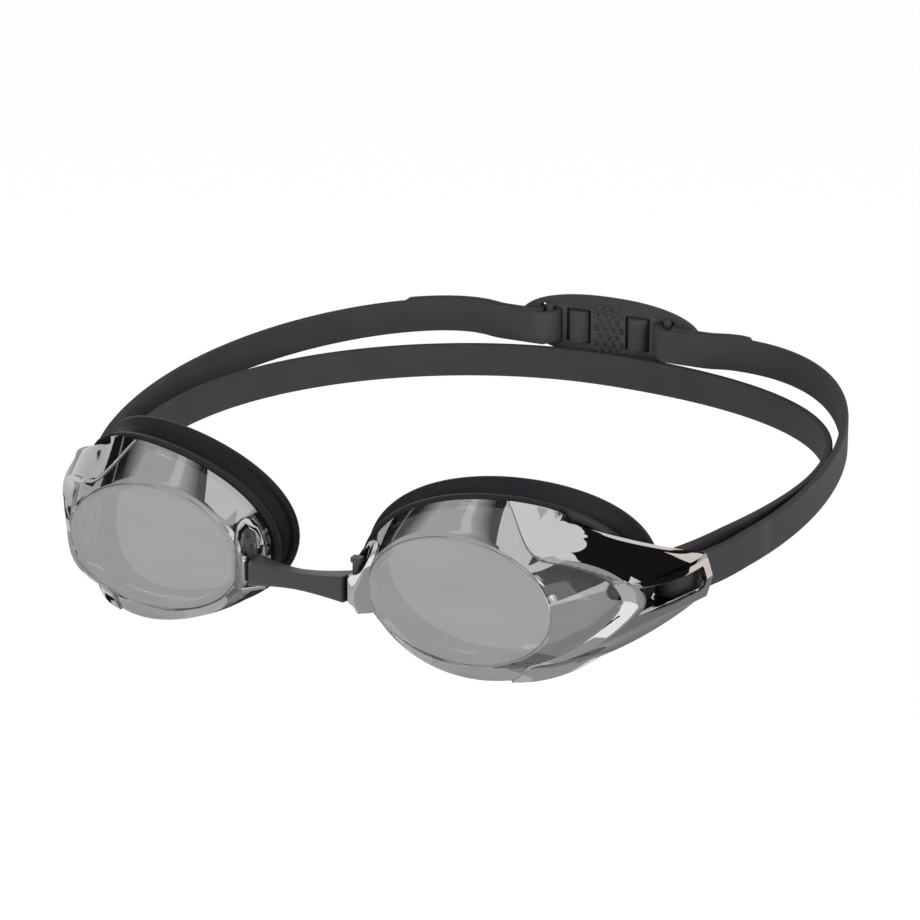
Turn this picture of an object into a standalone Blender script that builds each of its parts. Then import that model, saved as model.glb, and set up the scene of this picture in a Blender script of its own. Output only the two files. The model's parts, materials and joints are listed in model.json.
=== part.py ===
# Swim goggles: two mirrored cups on a nose bridge, with a divided head strap and a back clip.
# Metres, +Z up. The wearer looks along -Y, +X is the wearer's left.
# The origin lies between the eyes, where the two seals meet the face.
import math

import bmesh
import bpy
from mathutils import Matrix, Vector

# Lens
EYE_SPACING = 0.0700        # between the middles of the two flat fronts
LENS_WIDTH = 0.0404         # flat oval front
LENS_HEIGHT = 0.0274
LENS_FORWARD = 0.0120       # flat front ahead of the origin
LENS_YAW = 1.0              # degrees, outer edge back
LENS_PITCH = -3.0           # degrees, front leans down
LENS_WALL = 0.0018
LENS_EDGE = 0.0005          # rounding between front and wall
LENS_BULGE = 0.0006         # how far the wall swells between front and rim

# Rim, where the lens wall ends and the seal begins
RIM_WIDTH = 0.0552
RIM_HEIGHT = 0.0366
RIM_OUTSET = 0.0049         # rim middle further out than the middle of the flat front
RIM_FORWARD = 0.0079
RIM_RISE = 0.0021
FACE_YAW = 15.6             # degrees, the wrap of rim and seal round the face
FACE_PITCH = 7.3
RIM_BOW = 0.0117            # both ends of the rim swept back
RIM_BOW_OUTER = 0.0017      # the outer end swept back further

# Seal
SEAL_WIDTH = 0.0576
SEAL_HEIGHT = 0.0398
SEAL_OUTSET = 0.0032
SEAL_FORWARD = 0.0001
SEAL_RISE = 0.0025
SEAL_BOW = 0.0103
SEAL_BOW_OUTER = 0.0012
SEAL_LIP = 0.0012           # thickness of the lip on the rim
SEAL_LIP_PROUD = 0.0009
SEAL_SKIN = 0.0014          # wall of the hollow neck
SEAL_GROOVE = 0.0012        # how deep the neck lies behind the lip
SEAL_FLANGE = 0.0017        # thickness of the face flange
SEAL_FLANGE_WIDTH = 0.0048

# Strap arm
ARM_SPREAD = 83.0           # degrees round the lens where the arm starts, up and down
ARM_TIP = -8.0              # degrees, lowest and outermost place of the ledge
ARM_KINK = 0.60             # share of the spread where the ledge turns into the seam
ARM_START_TIP = 0.75        # share of the lens wall left bare at the outer end
ARM_START_KINK = 0.24       # share of the lens wall left bare at the kinks
ARM_START_RIM = 0.90        # share of the lens wall left bare at the ends of the seam
ARM_CORNER = 0.14           # share of the spread given to each half of the arm's end
ARM_EDGE = 0.68             # share of the spread where the edge along the rim begins
ARM_TUCK = 2.5              # how quickly the arm deepens away from the rim
ARM_LEDGE = 0.0037          # height of the ledge over the lens
ARM_SEAM = 0.0009           # height of the arm over the lens along the seam
ARM_LEAN = 0.0012           # how far the ledge leans forward
ARM_LEAVE = 40.0            # degrees, where the arm's edges leave the rim
ARM_REACH_OUT = 0.0119      # arm end beyond the rim's outer end
ARM_REACH_BACK = 0.0120
ARM_END_TOP = 0.0043        # arm end above and below the strap's middle
ARM_END_BOTTOM = 0.0043
ARM_DEPTH = 0.0105          # arm end, outside to inside
ARM_SKIN = 0.0015
ARM_SLOT_LENGTH = 0.0105
ARM_SLOT_HEIGHT = 0.0042
ARM_SLOT_RISE = 0.0005
ARM_BAR_RADIUS = 0.0015
ARM_BAR_INSET = 0.0082      # bar middle from the outside of the arm end
ARM_BAR_FROM_END = 0.0030

# Nose loop on the lens and hinge pin on the bridge
PIN_RADIUS = 0.0012
PIN_TOP = 0.0044
PIN_BOTTOM = 0.0056
PIN_INSET = 0.0024          # pin axis on the nose side of the flat front's inner end
PIN_BACK = 0.0002           # pin axis behind the flat front
LOOP_PLATE = 0.0011         # front and rear walls of the loop
LOOP_ROOF = 0.0016
LOOP_FLOOR = 0.0012
LOOP_CEILING = 0.0054       # underside of the roof above the eye line
LOOP_STEP = 0.0024          # top of the front wall above the eye line
LOOP_RAKE = 0.0026          # roof set back from the nose
LOOP_PIN_DEPTH = 0.0009     # how far the pin reaches into the floor
LOOP_FRONT_ROOM = 0.0006    # space ahead of the pin
LOOP_REAR_ROOM = 0.0004     # space behind the pin
LOOP_NOSE_ROOM = 0.0001     # loop beyond the pin, towards the nose
LOOP_LAP = 0.0006           # loop lapped onto the flat front

# Nose bridge
BRIDGE_HEIGHT = 0.0048      # at the ends
BRIDGE_WAIST = 0.0034       # in the middle
BRIDGE_DEPTH = 0.0068
BRIDGE_WAIST_DEPTH = 0.0038
BRIDGE_FRONT = 0.0034       # front face ahead of the lens front
BRIDGE_ARCH = 0.0008        # middle ahead of the ends
BRIDGE_RISE = 0.0006        # middle above the ends
BRIDGE_DROP = 0.0009        # bridge middle below the eye line
BRIDGE_NECK = 0.0019
BRIDGE_NECK_HEIGHT = 0.0036
BRIDGE_END_GAP = 0.0008     # room for the hinge to swing
BRIDGE_ROUND = 0.45         # share of the half section taken by each rounded corner

# Strap
STRAP_WIDTH = 0.0078
STRAP_THICK = 0.0015
STRAP_EDGE = 0.0005
STRAP_DROP = 0.0004         # strap middle below the eye line at the arms
STRAP_SPLAY = 15.0          # degrees, outward run of the strap at the arms
STRAP_LEAD = 0.0062         # straight run from the bar to the end of the loop
UPPER_CLIMB = 0.0645        # rise for each metre back
UPPER_SIDE_PULL = 0.0650    # fullness of the curve at the side of the head
UPPER_BACK_PULL_LEFT = 0.0298   # fullness at the back of the head
UPPER_BACK_PULL_RIGHT = 0.0260
UPPER_SHOULDER = 0.0370     # half of the straight stretch behind the head
UPPER_SHOULDER_BACK = 0.0014  # that stretch behind the strands at the clip
LOWER_FALL = -0.0130
LOWER_SIDE_PULL_LEFT = 0.0620
LOWER_SIDE_PULL_RIGHT = 0.0560
LOWER_BACK_PULL_LEFT = 0.0800
LOWER_BACK_PULL_RIGHT = 0.0655
LOWER_CLEAR = 0.0022        # lower strand ahead of the clip
TAIL_REACH_LEFT = 0.0175    # loose end beyond the clip's slot
TAIL_REACH_RIGHT = 0.0302
TAIL_SLANT = 0.0030         # slanted cut of the loose end

# Back clip
CLIP_BACK = 0.1410          # middle of the plate behind the origin
CLIP_LENGTH = 0.0496
CLIP_HEIGHT = 0.0156
CLIP_THICK = 0.0020
CLIP_FULLNESS = 2.2         # exponent of the oval outline
CLIP_BAR_RADIUS = 0.0010
CLIP_BAR_INSET = 0.0098     # bar from the end of the clip
CLIP_BAR_PROUD = 0.0007     # bar ahead of the middle of the plate
CLIP_SLOT_SIDE = 0.0007     # free width of the slot on the inner side of the strap
CLIP_SLOT_EXIT = 0.0047     # slot edge beyond the bar, on the outer side
CLIP_RIM = 0.0007           # narrowest band beside a slot
CLIP_SLOT_ROOM = 0.0006     # slot taller than the strap, above and below
CLIP_POCKET_WIDTH = 0.0064
CLIP_POCKET_DEPTH = 0.0009
CLIP_POCKET_INSET = 0.0075  # middle of the pocket from the bar
CLIP_ROLL_RADIUS = 0.0022
CLIP_ROLL_HEIGHT = 0.0080

# Fits
SEAT = 0.0003               # gap between pieces that touch
CUT_OVER = 0.0040           # how far a cut runs past the face that it opens
LENS_SIDES = 48
ROUND_SIDES = 16
ARM_STRIPS = 28
ARM_STEPS = 5
BRIDGE_STEPS = 12
LOOP_STEPS = 10
UPPER_STEPS = 20
EASE_STEPS = 6
LOWER_STEPS = 24
CLIP_SIDES = 48

WALL_SHARES = (0.05, 0.35, 0.7, 1.0)   # rings of the lens wall, from front to rim
HOLLOW_SHARE = 0.5          # ring halfway down the inside of the lens
NECK_SHARE = 0.6            # place of the seal's neck between rim and flange
SHARP_ANGLE = 35.0          # degrees, edges sharper than this stay crisp

# Surfaces: colour, roughness, metal
LENS_SURFACE = ((0.30, 0.31, 0.30, 1.0), 0.08, 0.9)
ARM_SURFACE = ((0.42, 0.42, 0.42, 1.0), 0.12, 0.9)
SEAL_SURFACE = ((0.022, 0.021, 0.025, 1.0), 0.35, 0.0)
BRIDGE_SURFACE = ((0.042, 0.042, 0.045, 1.0), 0.40, 0.0)
STRAP_SURFACE = ((0.043, 0.043, 0.046, 1.0), 0.60, 0.0)
CLIP_SURFACE = ((0.040, 0.040, 0.043, 1.0), 0.50, 0.0)
SIDES = {"left": 1.0, "right": -1.0}


def finish(name, surface):
    colour, roughness, metal = surface
    material = bpy.data.materials.new(name)
    material.use_nodes = True
    shader = material.node_tree.nodes["Principled BSDF"]
    shader.inputs["Base Color"].default_value = colour
    shader.inputs["Roughness"].default_value = roughness
    shader.inputs["Metallic"].default_value = metal
    material.diffuse_color = colour
    return material


def solid(name, rings, closed=False):
    # A closed body through rings of points; an open run of rings gets flat ends.
    mesh = bmesh.new()
    loops = [[mesh.verts.new(point) for point in ring] for ring in rings]
    spans = list(zip(loops, loops[1:]))
    if closed:
        spans.append((loops[-1], loops[0]))
    for low, high in spans:
        for i in range(len(low)):
            k = (i + 1) % len(low)
            mesh.faces.new((low[i], low[k], high[k], high[i]))
    if not closed:
        mesh.faces.new(loops[0][::-1])
        mesh.faces.new(loops[-1])
    bmesh.ops.recalc_face_normals(mesh, faces=mesh.faces)
    if mesh.calc_volume(signed=True) < 0:
        bmesh.ops.reverse_faces(mesh, faces=mesh.faces)
    data = bpy.data.meshes.new(name)
    mesh.to_mesh(data)
    mesh.free()
    body = bpy.data.objects.new(name, data)
    bpy.context.scene.collection.objects.link(body)
    return body


def combine(body, tool, operation):
    step = body.modifiers.new(operation, "BOOLEAN")
    step.operation = operation
    step.object = tool
    graph = bpy.context.evaluated_depsgraph_get()
    result = bpy.data.meshes.new_from_object(body.evaluated_get(graph))
    body.modifiers.clear()
    body.data = result
    bpy.data.objects.remove(tool)


def block(low, high):
    ring = [(low[0], low[1]), (high[0], low[1]), (high[0], high[1]), (low[0], high[1])]
    return solid("block", [[(x, y, z) for x, y in ring] for z in (low[2], high[2])])


def post(x, y, low, high, radius, sides=ROUND_SIDES):
    turns = [2 * math.pi * i / sides for i in range(sides)]
    ring = [(x + radius * math.cos(a), y + radius * math.sin(a)) for a in turns]
    return solid("post", [[(px, py, z) for px, py in ring] for z in (low, high)])


def settle(body, material, pivot, side=1.0):
    # Mirrors a left-hand body for the right side and puts its origin on its joint's axis.
    if side < 0:
        body.data.transform(Matrix.Scale(-1.0, 4, Vector((1.0, 0.0, 0.0))))
        body.data.flip_normals()
    pivot = Vector((pivot[0] * side, pivot[1], pivot[2]))
    body.data.transform(Matrix.Translation(-pivot))
    body.location = pivot
    body.data.materials.clear()
    body.data.materials.append(material)
    body.data.shade_smooth()
    body.data.set_sharp_from_angle(angle=math.radians(SHARP_ANGLE))
    return body


# Outlines of the left cup: each is a bowed oval, walked by an angle that starts at the outer end.
def face_axes(yaw, pitch):
    yaw = math.radians(yaw)
    pitch = math.radians(pitch)
    across = Vector((math.cos(yaw), math.sin(yaw), 0.0))
    front = Vector((math.sin(yaw) * math.cos(pitch), -math.cos(yaw) * math.cos(pitch), math.sin(pitch)))
    return across, front.cross(across), front


FLAT_AXES = face_axes(LENS_YAW, LENS_PITCH)
FACE_AXES = face_axes(FACE_YAW, FACE_PITCH)
FACE_BACK = -FACE_AXES[2]
FLAT_MIDDLE = Vector((EYE_SPACING / 2, -LENS_FORWARD, 0.0))
RIM_MIDDLE = Vector((EYE_SPACING / 2 + RIM_OUTSET, -RIM_FORWARD, RIM_RISE))
SEAL_MIDDLE = Vector((EYE_SPACING / 2 + SEAL_OUTSET, -SEAL_FORWARD, SEAL_RISE))


def oval(angle, middle, axes, width, height, bows, grow, back):
    across, upward, front = axes
    bow, bow_outer = bows
    c = math.cos(angle)
    s = math.sin(angle)
    half_width = width / 2
    half_height = height / 2
    outward = (across * (c / half_width) + upward * (s / half_height)).normalized()
    point = middle + across * (half_width * c) + upward * (half_height * s)
    return point - front * (bow * c * c + bow_outer * c ** 3 + back) + outward * grow


def flat_edge(angle, grow=0.0, back=0.0):
    return oval(angle, FLAT_MIDDLE, FLAT_AXES, LENS_WIDTH, LENS_HEIGHT, (0.0, 0.0), grow, back)


def rim_edge(angle, grow=0.0, back=0.0):
    bows = (RIM_BOW, RIM_BOW_OUTER)
    return oval(angle, RIM_MIDDLE, FACE_AXES, RIM_WIDTH, RIM_HEIGHT, bows, grow, back)


def seal_edge(angle, grow=0.0, back=0.0):
    bows = (SEAL_BOW, SEAL_BOW_OUTER)
    return oval(angle, SEAL_MIDDLE, FACE_AXES, SEAL_WIDTH, SEAL_HEIGHT, bows, grow, back)


def lens_wall(angle, share, grow=0.0):
    # Outside of the lens wall, from the flat front (share 0) to the rim (share 1).
    swell = LENS_BULGE * 4 * share * (1 - share)
    return flat_edge(angle, grow + swell).lerp(rim_edge(angle, grow + swell), share)


def round_lens(walk):
    return [walk(2 * math.pi * i / LENS_SIDES) for i in range(LENS_SIDES)]


def lens_rings(grow):
    # Outside of the lens, front to rim, grown by a clearance.
    rings = [round_lens(lambda a: flat_edge(a, grow - LENS_EDGE, -grow))]
    for share in WALL_SHARES:
        rings.append(round_lens(lambda a: lens_wall(a, share, grow)))
    return rings


def hollow_rings(wall, back):
    # Inside of the lens, rim to front, at a depth below the outside.
    rings = [round_lens(lambda a: rim_edge(a, -wall, back))]
    rings.append(round_lens(lambda a: lens_wall(a, HOLLOW_SHARE, -wall)))
    rings.append(round_lens(lambda a: flat_edge(a, -wall, wall)))
    return rings


def seal_section(angle):
    # Section of the seal at one angle: lip, groove, flange and the hollow inside.
    lip = rim_edge(angle)
    neck = rim_edge(angle).lerp(seal_edge(angle), NECK_SHARE)
    outward = rim_edge(angle, 1.0) - lip
    tip = seal_edge(angle)

    def at(base, out, back):
        return base + outward * out + FACE_BACK * back

    return [
        at(lip, SEAL_LIP_PROUD, SEAT),
        at(lip, SEAL_LIP_PROUD, SEAT + SEAL_LIP),
        at(lip, SEAL_LIP_PROUD - SEAL_GROOVE, SEAT + 2 * SEAL_LIP),
        at(neck, -SEAL_GROOVE, 0.0),
        at(tip, -SEAL_FLANGE / 3, -SEAL_FLANGE),
        at(tip, 0.0, -SEAL_FLANGE / 2),
        at(tip, -SEAL_FLANGE / 3, 0.0),
        at(tip, -SEAL_FLANGE_WIDTH, -SEAL_FLANGE / 2),
        at(neck, -SEAL_GROOVE - SEAL_SKIN, 0.0),
        at(lip, -LENS_WALL, SEAT),
    ]


def make_seal(name):
    turns = [2 * math.pi * i / LENS_SIDES for i in range(LENS_SIDES)]
    return solid(name, [seal_section(turn) for turn in turns], closed=True)


# Places shared by several pieces of the left cup
PIN_X = EYE_SPACING / 2 - LENS_WIDTH / 2 - PIN_INSET
PIN_Y = -LENS_FORWARD + PIN_BACK
RIM_END = rim_edge(0.0)
ARM_END_X = RIM_END.x + ARM_REACH_OUT
ARM_END_Y = RIM_END.y + ARM_REACH_BACK
BAR_X = ARM_END_X - ARM_BAR_INSET
BAR_Y = ARM_END_Y - ARM_BAR_FROM_END
WRAP_RADIUS = ARM_BAR_RADIUS + SEAT + STRAP_THICK / 2


def make_lens(name):
    # Mirrored shell with a roofed loop on its nose side for the bridge's pin.
    shell = solid(name, lens_rings(0.0) + hollow_rings(LENS_WALL, 0.0))
    front = PIN_Y - PIN_RADIUS - LOOP_FRONT_ROOM
    rear = PIN_Y + PIN_RADIUS + LOOP_REAR_ROOM
    floor = -PIN_BOTTOM + LOOP_PIN_DEPTH
    inner_x = PIN_X - PIN_RADIUS - LOOP_NOSE_ROOM
    outer_x = flat_edge(math.pi).x + LOOP_LAP
    top = LOOP_CEILING + LOOP_ROOF
    outline = [
        (inner_x, floor - LOOP_FLOOR), (outer_x, floor - LOOP_FLOOR), (outer_x, top),
        (inner_x + LOOP_RAKE, top), (inner_x, LOOP_STEP),
    ]
    walls = (front - LOOP_PLATE, rear + LOOP_PLATE)
    loop = solid("loop", [[(x, y, z) for x, z in outline] for y in walls])
    room = block((inner_x - CUT_OVER, front, floor), (outer_x + CUT_OVER, rear, LOOP_CEILING))
    combine(loop, room, "DIFFERENCE")
    notch = block(
        (inner_x - CUT_OVER, walls[0] - CUT_OVER, LOOP_STEP),
        (outer_x + CUT_OVER, front + SEAT, top + CUT_OVER),
    )
    combine(loop, notch, "DIFFERENCE")
    socket = post(PIN_X, PIN_Y, -PIN_BOTTOM - SEAT, floor + CUT_OVER, PIN_RADIUS + SEAT)
    combine(loop, socket, "DIFFERENCE")
    combine(loop, solid("hollow", hollow_rings(LENS_WALL / 2, CUT_OVER)), "DIFFERENCE")
    combine(shell, loop, "UNION")
    return shell


def arm_angle(turn):
    # Angle round the lens for a place across the arm: 1 at its upper end, -1 at its lower end.
    spread = ARM_SPREAD - ARM_TIP if turn >= 0 else ARM_SPREAD + ARM_TIP
    return math.radians(ARM_TIP + turn * spread)


def arm_start(turn):
    # Share of the lens wall where the arm starts, and its height over the lens there.
    reach = abs(turn)
    if reach <= ARM_KINK:
        fall = (reach / ARM_KINK) ** 2
        share = ARM_START_TIP + (ARM_START_KINK - ARM_START_TIP) * fall
        return share, ARM_LEDGE + (ARM_SEAM - ARM_LEDGE) * fall
    climb = (reach - ARM_KINK) / (1.0 - ARM_KINK)
    return ARM_START_KINK + (ARM_START_RIM - ARM_START_KINK) * climb, ARM_SEAM


def arm_end(turn):
    # Rear edge of the arm: along the rim, out to the corner of the arm end, and down its end.
    reach = abs(turn)
    up = 1.0 if turn >= 0 else -1.0
    middle = Vector((ARM_END_X, ARM_END_Y, -STRAP_DROP))
    height = ARM_END_TOP if up > 0 else ARM_END_BOTTOM
    corner = middle + Vector((-height / 4, -height / 8, up * height))
    if reach <= ARM_CORNER:
        return middle.lerp(corner, reach / ARM_CORNER)
    if reach <= ARM_EDGE:
        leave = rim_edge(math.radians(up * ARM_LEAVE), ARM_SEAM)
        return corner.lerp(leave, (reach - ARM_CORNER) / (ARM_EDGE - ARM_CORNER))
    along = (reach - ARM_EDGE) / (1.0 - ARM_EDGE)
    degrees = ARM_LEAVE + (ARM_SPREAD - ARM_LEAVE) * along
    return rim_edge(math.radians(up * degrees), ARM_SEAM)


def arm_section(turn):
    # One strip of the arm: outside from the ledge to the rear edge, then inside along seal and lens.
    angle = arm_angle(turn)
    share, height = arm_start(turn)
    bare = lens_wall(angle, share, SEAT)
    outward = lens_wall(angle, share, 1.0) - lens_wall(angle, share)
    end = arm_end(turn)
    lean = ARM_LEAN * (height - ARM_SEAM) / (ARM_LEDGE - ARM_SEAM)
    start = bare + outward * (height - SEAT) - FACE_BACK * lean
    outer = [start.lerp(end, i / ARM_STEPS) for i in range(ARM_STEPS + 1)]
    tuck = min(1.0, max(0.0, ARM_TUCK * (1.0 - abs(turn) / ARM_EDGE)))
    seam = ARM_SEAM - SEAT
    deep = (end - outward * seam / 4).lerp(Vector((ARM_END_X - ARM_DEPTH, end.y, end.z)), tuck)
    lip = (end - outward * seam * 3 / 4).lerp(rim_edge(angle, SEAL_LIP_PROUD + SEAT, SEAT), tuck)
    inner = [deep, deep.lerp(lip, 0.5), lip]
    inner.extend([lens_wall(angle, share + (1.0 - share) * k, SEAT) for k in (1.0, 0.5, 0.0)])
    return outer + inner


def arm_slope():
    # Outward run of the arm's outside for each metre back, along its middle.
    start = lens_wall(0.0, ARM_START_TIP, ARM_LEDGE)
    return (ARM_END_X - start.x) / (ARM_END_Y - start.y)


def make_arm(name):
    turns = [1 - 2 * i / ARM_STRIPS for i in range(ARM_STRIPS + 1)]
    body = solid(name, [arm_section(turn) for turn in turns])
    slot_rear = ARM_END_Y - ARM_SKIN
    slot_middle = -STRAP_DROP + ARM_SLOT_RISE
    low = (BAR_X + ARM_BAR_RADIUS, slot_rear - ARM_SLOT_LENGTH, slot_middle - ARM_SLOT_HEIGHT / 2)
    high = (ARM_END_X + CUT_OVER, slot_rear, slot_middle + ARM_SLOT_HEIGHT / 2)
    combine(body, block(low, high), "DIFFERENCE")
    half_room = STRAP_WIDTH / 2 + SEAT
    top = -STRAP_DROP + half_room
    bottom = -STRAP_DROP - half_room
    front = BAR_Y - WRAP_RADIUS - STRAP_THICK
    rear = ARM_END_Y + CUT_OVER
    inside = ARM_END_X - ARM_DEPTH - CUT_OVER
    skin = ARM_END_X - ARM_SKIN
    pocket = [
        (inside, front),
        (skin - arm_slope() * (ARM_END_Y - front), front),
        (skin + arm_slope() * CUT_OVER, rear),
        (inside, rear),
    ]
    combine(body, solid("pocket", [[(x, y, z) for x, y in pocket] for z in (bottom, top)]), "DIFFERENCE")
    sunk = ARM_SKIN / 2
    combine(body, post(BAR_X, BAR_Y, bottom - sunk, top + sunk, ARM_BAR_RADIUS), "UNION")
    return body


def make_bridge(name):
    # Arched bar with a slim neck and an upright hinge pin at each end.
    loop_x = PIN_X - PIN_RADIUS - LOOP_NOSE_ROOM
    body_x = loop_x - BRIDGE_END_GAP
    rings = []
    for i in range(BRIDGE_STEPS + 1):
        along = 2 * i / BRIDGE_STEPS - 1
        spread = along * along
        height = BRIDGE_WAIST + (BRIDGE_HEIGHT - BRIDGE_WAIST) * spread
        depth = BRIDGE_WAIST_DEPTH + (BRIDGE_DEPTH - BRIDGE_WAIST_DEPTH) * spread
        front = -LENS_FORWARD - BRIDGE_FRONT - BRIDGE_ARCH * (1 - spread)
        middle = -BRIDGE_DROP + BRIDGE_RISE * (1 - spread)
        rings.append(bar_ring(along * body_x, front + depth / 2, middle, depth, height))
    for sign, end in ((-1.0, 0), (1.0, len(rings))):
        neck = [
            bar_ring(sign * x, PIN_Y, -BRIDGE_DROP, BRIDGE_NECK, BRIDGE_NECK_HEIGHT)
            for x in (body_x + BRIDGE_END_GAP / 4, PIN_X)
        ]
        if end:
            rings = rings + neck
        else:
            rings = neck[::-1] + rings
    body = solid(name, rings)
    for sign in SIDES.values():
        combine(body, post(sign * PIN_X, PIN_Y, -PIN_BOTTOM, PIN_TOP, PIN_RADIUS), "UNION")
    return body


def bar_ring(x, y, z, depth, height):
    # Section of the bridge, square to X, with rounded corners.
    half_y = depth / 2
    half_z = height / 2
    soft = min(half_y, half_z) * BRIDGE_ROUND
    ring = []
    for corner_y, corner_z, first in ((1, 1, 0), (-1, 1, 1), (-1, -1, 2), (1, -1, 3)):
        for turn in (0, 1, 2):
            angle = math.pi / 2 * (first + turn / 2)
            ring.append((
                x,
                y + corner_y * (half_y - soft) + soft * math.cos(angle),
                z + corner_z * (half_z - soft) + soft * math.sin(angle),
            ))
    return ring


# Routes of the strap, seen from above: lists of places on its middle line
def strap_height(y, climb):
    return -STRAP_DROP + climb * (y - BAR_Y)


def curve(start, start_pull, end_pull, end, count):
    places = []
    for i in range(count + 1):
        t = i / count
        u = 1 - t
        pulls = start_pull * (3 * u * u * t) + end_pull * (3 * u * t * t)
        places.append(start * u ** 3 + pulls + end * t ** 3)
    return places


def arc(middle, radius, first, last, count):
    turns = [first + (last - first) * i / count for i in range(count + 1)]
    return [middle + Vector((math.cos(a), math.sin(a), 0.0)) * radius for a in turns]


def band(name, places, climb, cut=0.0):
    # Flat band with soft edges along a route; a cut slants its last end.
    half = STRAP_THICK / 2
    tall = STRAP_WIDTH / 2
    soft = STRAP_EDGE
    section = [
        (half, tall - soft), (half - soft, tall), (soft - half, tall), (-half, tall - soft),
        (-half, soft - tall), (soft - half, -tall), (half - soft, -tall), (half, soft - tall),
    ]
    rings = []
    last = len(places) - 1
    for i, place in enumerate(places):
        run = (places[min(i + 1, last)] - places[max(i - 1, 0)]).normalized()
        side = Vector((run.y, -run.x, 0.0))
        middle = Vector((place.x, place.y, strap_height(place.y, climb)))
        slant = cut if i == last else 0.0
        rings.append([
            middle + side * out + Vector((0.0, 0.0, up)) - run * (slant * (0.5 + up / STRAP_WIDTH))
            for out, up in section
        ])
    return solid(name, rings)


BAR = Vector((BAR_X, BAR_Y, 0.0))
SPLAY = math.radians(STRAP_SPLAY)
LEAD = Vector((math.sin(SPLAY), math.cos(SPLAY), 0.0))
LEAD_SIDE = Vector((math.cos(SPLAY), -math.sin(SPLAY), 0.0))
OUTER_END = BAR + LEAD_SIDE * WRAP_RADIUS + LEAD * STRAP_LEAD
INNER_END = BAR - LEAD_SIDE * WRAP_RADIUS + LEAD * STRAP_LEAD
CLIP_BAR = Vector((CLIP_LENGTH / 2 - CLIP_BAR_INSET, CLIP_BACK - CLIP_BAR_PROUD, 0.0))
CLIP_WRAP = CLIP_BAR_RADIUS + SEAT + STRAP_THICK / 2
CLIP_SLOT_OUTER = CLIP_BAR.x + CLIP_SLOT_EXIT
CLIP_SLOT_INNER = CLIP_BAR.x - CLIP_WRAP - STRAP_THICK / 2 - CLIP_SLOT_SIDE
# Strands on the face side of the clip: the loose end lies against the clip, the strap on the loose end
EXIT = Vector((CLIP_SLOT_OUTER - SEAT, CLIP_BACK - CLIP_THICK / 2 - SEAT - STRAP_THICK / 2, 0.0))
LAYER = STRAP_THICK + SEAT
ENTRY = EXIT - Vector((STRAP_THICK, LAYER, 0.0))
TAIL_START = EXIT + Vector((STRAP_THICK, 0.0, 0.0))


def leave_bar(target, turn):
    # Angle where a straight run to the target leaves the wrap round the clip's bar.
    toward = target - CLIP_BAR
    return math.atan2(toward.y, toward.x) + turn * math.acos(CLIP_WRAP / toward.length)


def loop_route():
    quarter = [BAR + LEAD_SIDE * WRAP_RADIUS + LEAD * (STRAP_LEAD * k) for k in (1.0, 0.5)]
    turn = arc(BAR, WRAP_RADIUS, -SPLAY, -SPLAY - math.pi, LOOP_STEPS)
    back = [BAR - LEAD_SIDE * WRAP_RADIUS + LEAD * (STRAP_LEAD * k) for k in (0.5, 1.0)]
    return quarter + turn + back


def upper_route(back_pull):
    # From the arm round the side of the head to the clip, round its bar and out again.
    start = OUTER_END + LEAD * SEAT
    shoulder = Vector((UPPER_SHOULDER, ENTRY.y + UPPER_SHOULDER_BACK, 0.0))
    pull = Vector((back_pull, 0.0, 0.0))
    beside = Vector((CLIP_LENGTH / 2 + STRAP_THICK, ENTRY.y, 0.0))
    ease = (shoulder - beside).project(Vector((1.0, 0.0, 0.0))) / 2
    route = curve(start, start + LEAD * UPPER_SIDE_PULL, shoulder + pull, shoulder, UPPER_STEPS)
    route += curve(shoulder, shoulder - ease, beside + ease, beside, EASE_STEPS)[1:]
    route.append(ENTRY)
    first = leave_bar(ENTRY, -1.0)
    last = leave_bar(EXIT, 1.0) - 2 * math.pi
    return route + arc(CLIP_BAR, CLIP_WRAP, first, last, LOOP_STEPS) + [EXIT, TAIL_START]


def tail_route(strand, reach):
    # Loose end, lying on the outer side of the strap's strand.
    start = TAIL_START + Vector((SEAT, 0.0, 0.0))
    limit = CLIP_SLOT_OUTER + reach
    route = [start]
    for i in range(len(strand) - 1, 0, -1):
        run = (strand[i - 1] - strand[i]).normalized()
        place = strand[i] + Vector((-run.y, run.x, 0.0)) * LAYER
        if place.x > limit:
            break
        if place.x > start.x + STRAP_THICK:
            route.append(place)
    share = (limit - route[-1].x) / (place.x - route[-1].x)
    return route + [route[-1].lerp(place, share)]


def lower_route():
    # From arm to arm behind the head, a little fuller on the left.
    back = Vector((0.0, CLIP_BACK - CLIP_THICK / 2 - LOWER_CLEAR - STRAP_THICK / 2, 0.0))
    start = INNER_END + LEAD * SEAT
    halves = []
    for side_pull, back_pull in (
        (LOWER_SIDE_PULL_LEFT, LOWER_BACK_PULL_LEFT),
        (LOWER_SIDE_PULL_RIGHT, LOWER_BACK_PULL_RIGHT),
    ):
        pull = Vector((back_pull, 0.0, 0.0))
        halves.append(curve(start, start + LEAD * side_pull, back + pull, back, LOWER_STEPS))
    right = [Vector((-place.x, place.y, 0.0)) for place in halves[1]]
    return halves[0] + right[::-1][1:]


def clip_half_height(x, rim):
    share = min(1.0, abs(x) / (CLIP_LENGTH / 2))
    return CLIP_HEIGHT / 2 * (1 - share ** CLIP_FULLNESS) ** (1 / CLIP_FULLNESS) - rim


def clip_ring(y, middle, inset):
    ring = []
    for i in range(CLIP_SIDES):
        angle = 2 * math.pi * i / CLIP_SIDES
        c = math.cos(angle)
        s = math.sin(angle)
        power = 2 / CLIP_FULLNESS
        x = (CLIP_LENGTH / 2 - inset) * math.copysign(abs(c) ** power, c)
        z = (CLIP_HEIGHT / 2 - inset) * math.copysign(abs(s) ** power, s)
        ring.append((x, y, middle + z))
    return ring


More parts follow.
